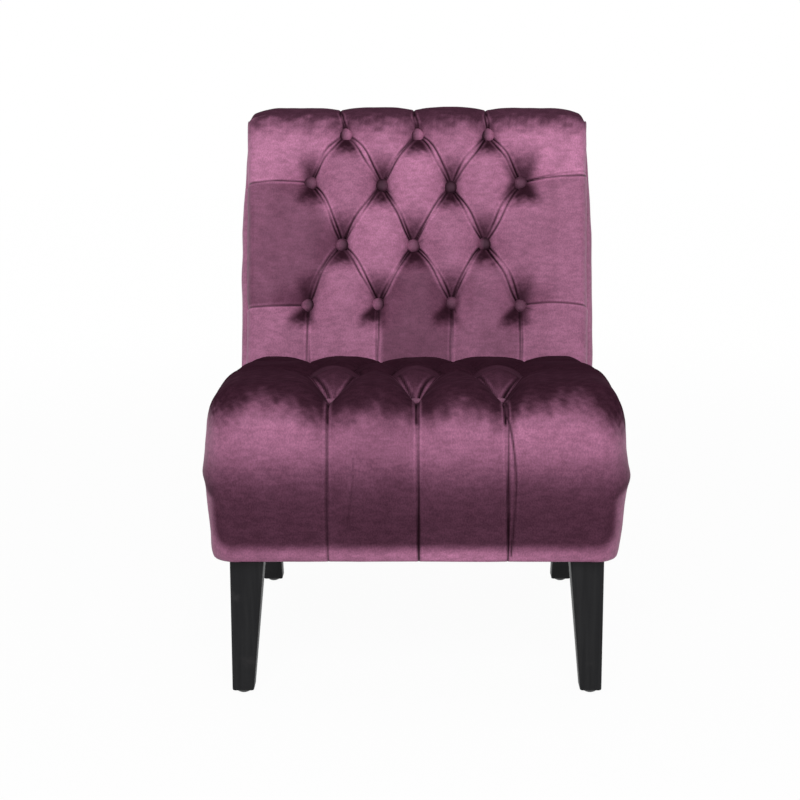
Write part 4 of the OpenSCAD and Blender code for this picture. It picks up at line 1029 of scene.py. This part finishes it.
# %% [markdown]
# ## Floor, light and camera
# The chair stands on a plain pale floor before a white backdrop. One wide soft lamp in front
# and above gives the broad sheen on the nose and the back. A weak one overhead opens the top,
# and two at the sides keep the rims from going flat. The camera looks down a little, from
# about two and a half metres away.

# %% Floor
def shown(tree):
    """One for a ray that shows the surface itself, nought for a ray that carries its light."""
    ray = node(tree, "LightPath").outputs
    others = reckon(tree, "MAXIMUM", ray["Is Glossy Ray"], ray["Is Transmission Ray"])
    return reckon(tree, "MAXIMUM", ray["Is Camera Ray"], others)


def mixed(tree, factor, a, b, end):
    """Mixes two shader nodes and gives the result to the Surface of the last node."""
    m = node(tree, "MixShader")
    feed(tree, zip(m.inputs, (factor, a.outputs[0], b.outputs[0])))
    tree.links.new(m.outputs[0], end.inputs["Surface"])


def floor_material():
    """A pale matt floor that is nearly white where it is seen, and whitest far away."""
    m, tree, shader, where = new_material("pale_floor", Roughness=0.9)
    tree.links.new(ramp(tree, noise(tree, where, 2, 2), 0.3, 0.7, (0.80, 0.80, 0.80, 1),
                        (0.82, 0.82, 0.82, 1)), shader.inputs["Base Color"])
    away = node(tree, "VectorMath", operation="LENGTH")
    tree.links.new(where.outputs["Object"], away.inputs[0])
    far = ramp(tree, reckon(tree, "DIVIDE", away.outputs["Value"], 8.0), 0.1, 0.4,
               (0.96, 0.96, 0.96, 1), (0.997, 0.997, 0.997, 1))
    glow = node(tree, "Emission", Strength=1.0)
    mixed(tree, times(tree, shown(tree), far), shader, glow, tree.nodes["Material Output"])
    return m


floor_mesh = bpy.data.meshes.new("floor")
floor_mesh.from_pydata([(-9, -9, 0), (9, -9, 0), (9, 9, 0), (-9, 9, 0)], [], [(0, 1, 2, 3)])
floor_mesh.materials.append(floor_material())
floor = add_object("floor", floor_mesh)

world = bpy.data.worlds.new("studio")
bpy.context.scene.world = world
world.use_nodes = True
tree = world.node_tree
tree.nodes.clear()
room, white = (node(tree, "Background", Color=(1, 1, 1, 1), Strength=strength)
               for strength in (0.25, 1.0))
mixed(tree, shown(tree), room, white, node(tree, "OutputWorld"))

# %% Lamps
def lamp(name, place, aim, wide, high, watts):
    """A soft rectangular lamp at a place, turned to what it aims at."""
    light = bpy.data.lights.new(name, "AREA")
    light.shape, light.size, light.size_y, light.energy = "RECTANGLE", wide, high, watts
    held = add_object(name, light)
    held.location = place
    held.rotation_euler = (Vector(aim) - Vector(place)).to_track_quat("-Z", "Y").to_euler()


lamp("front_softbox", (0, -2.9, 1.9), (0, 0, 0.5), 2.2, 2.0, 84)
lamp("top_softbox", (0, 0.4, 2.8), (0, 0, 0.4), 2.2, 1.6, 12)
lamp("left_fill", (-2.6, -0.3, 0.8), (0, 0, 0.4), 0.8, 1.2, 9)
lamp("right_fill", (2.6, -0.3, 0.8), (0, 0, 0.4), 0.8, 1.2, 9)

# %% Camera
camera_data = bpy.data.cameras.new("camera")
camera = add_object("camera", camera_data)
bpy.context.scene.camera = camera
camera_data.sensor_width, camera_data.lens = 36.0, 76.5
camera_data.shift_x = -17 / 800
camera.location = (0, -2.5824, 0.8624)
camera.rotation_euler = (math.radians(90 - 11.2), 0, 0)
bpy.context.scene.view_settings.view_transform = "Standard"
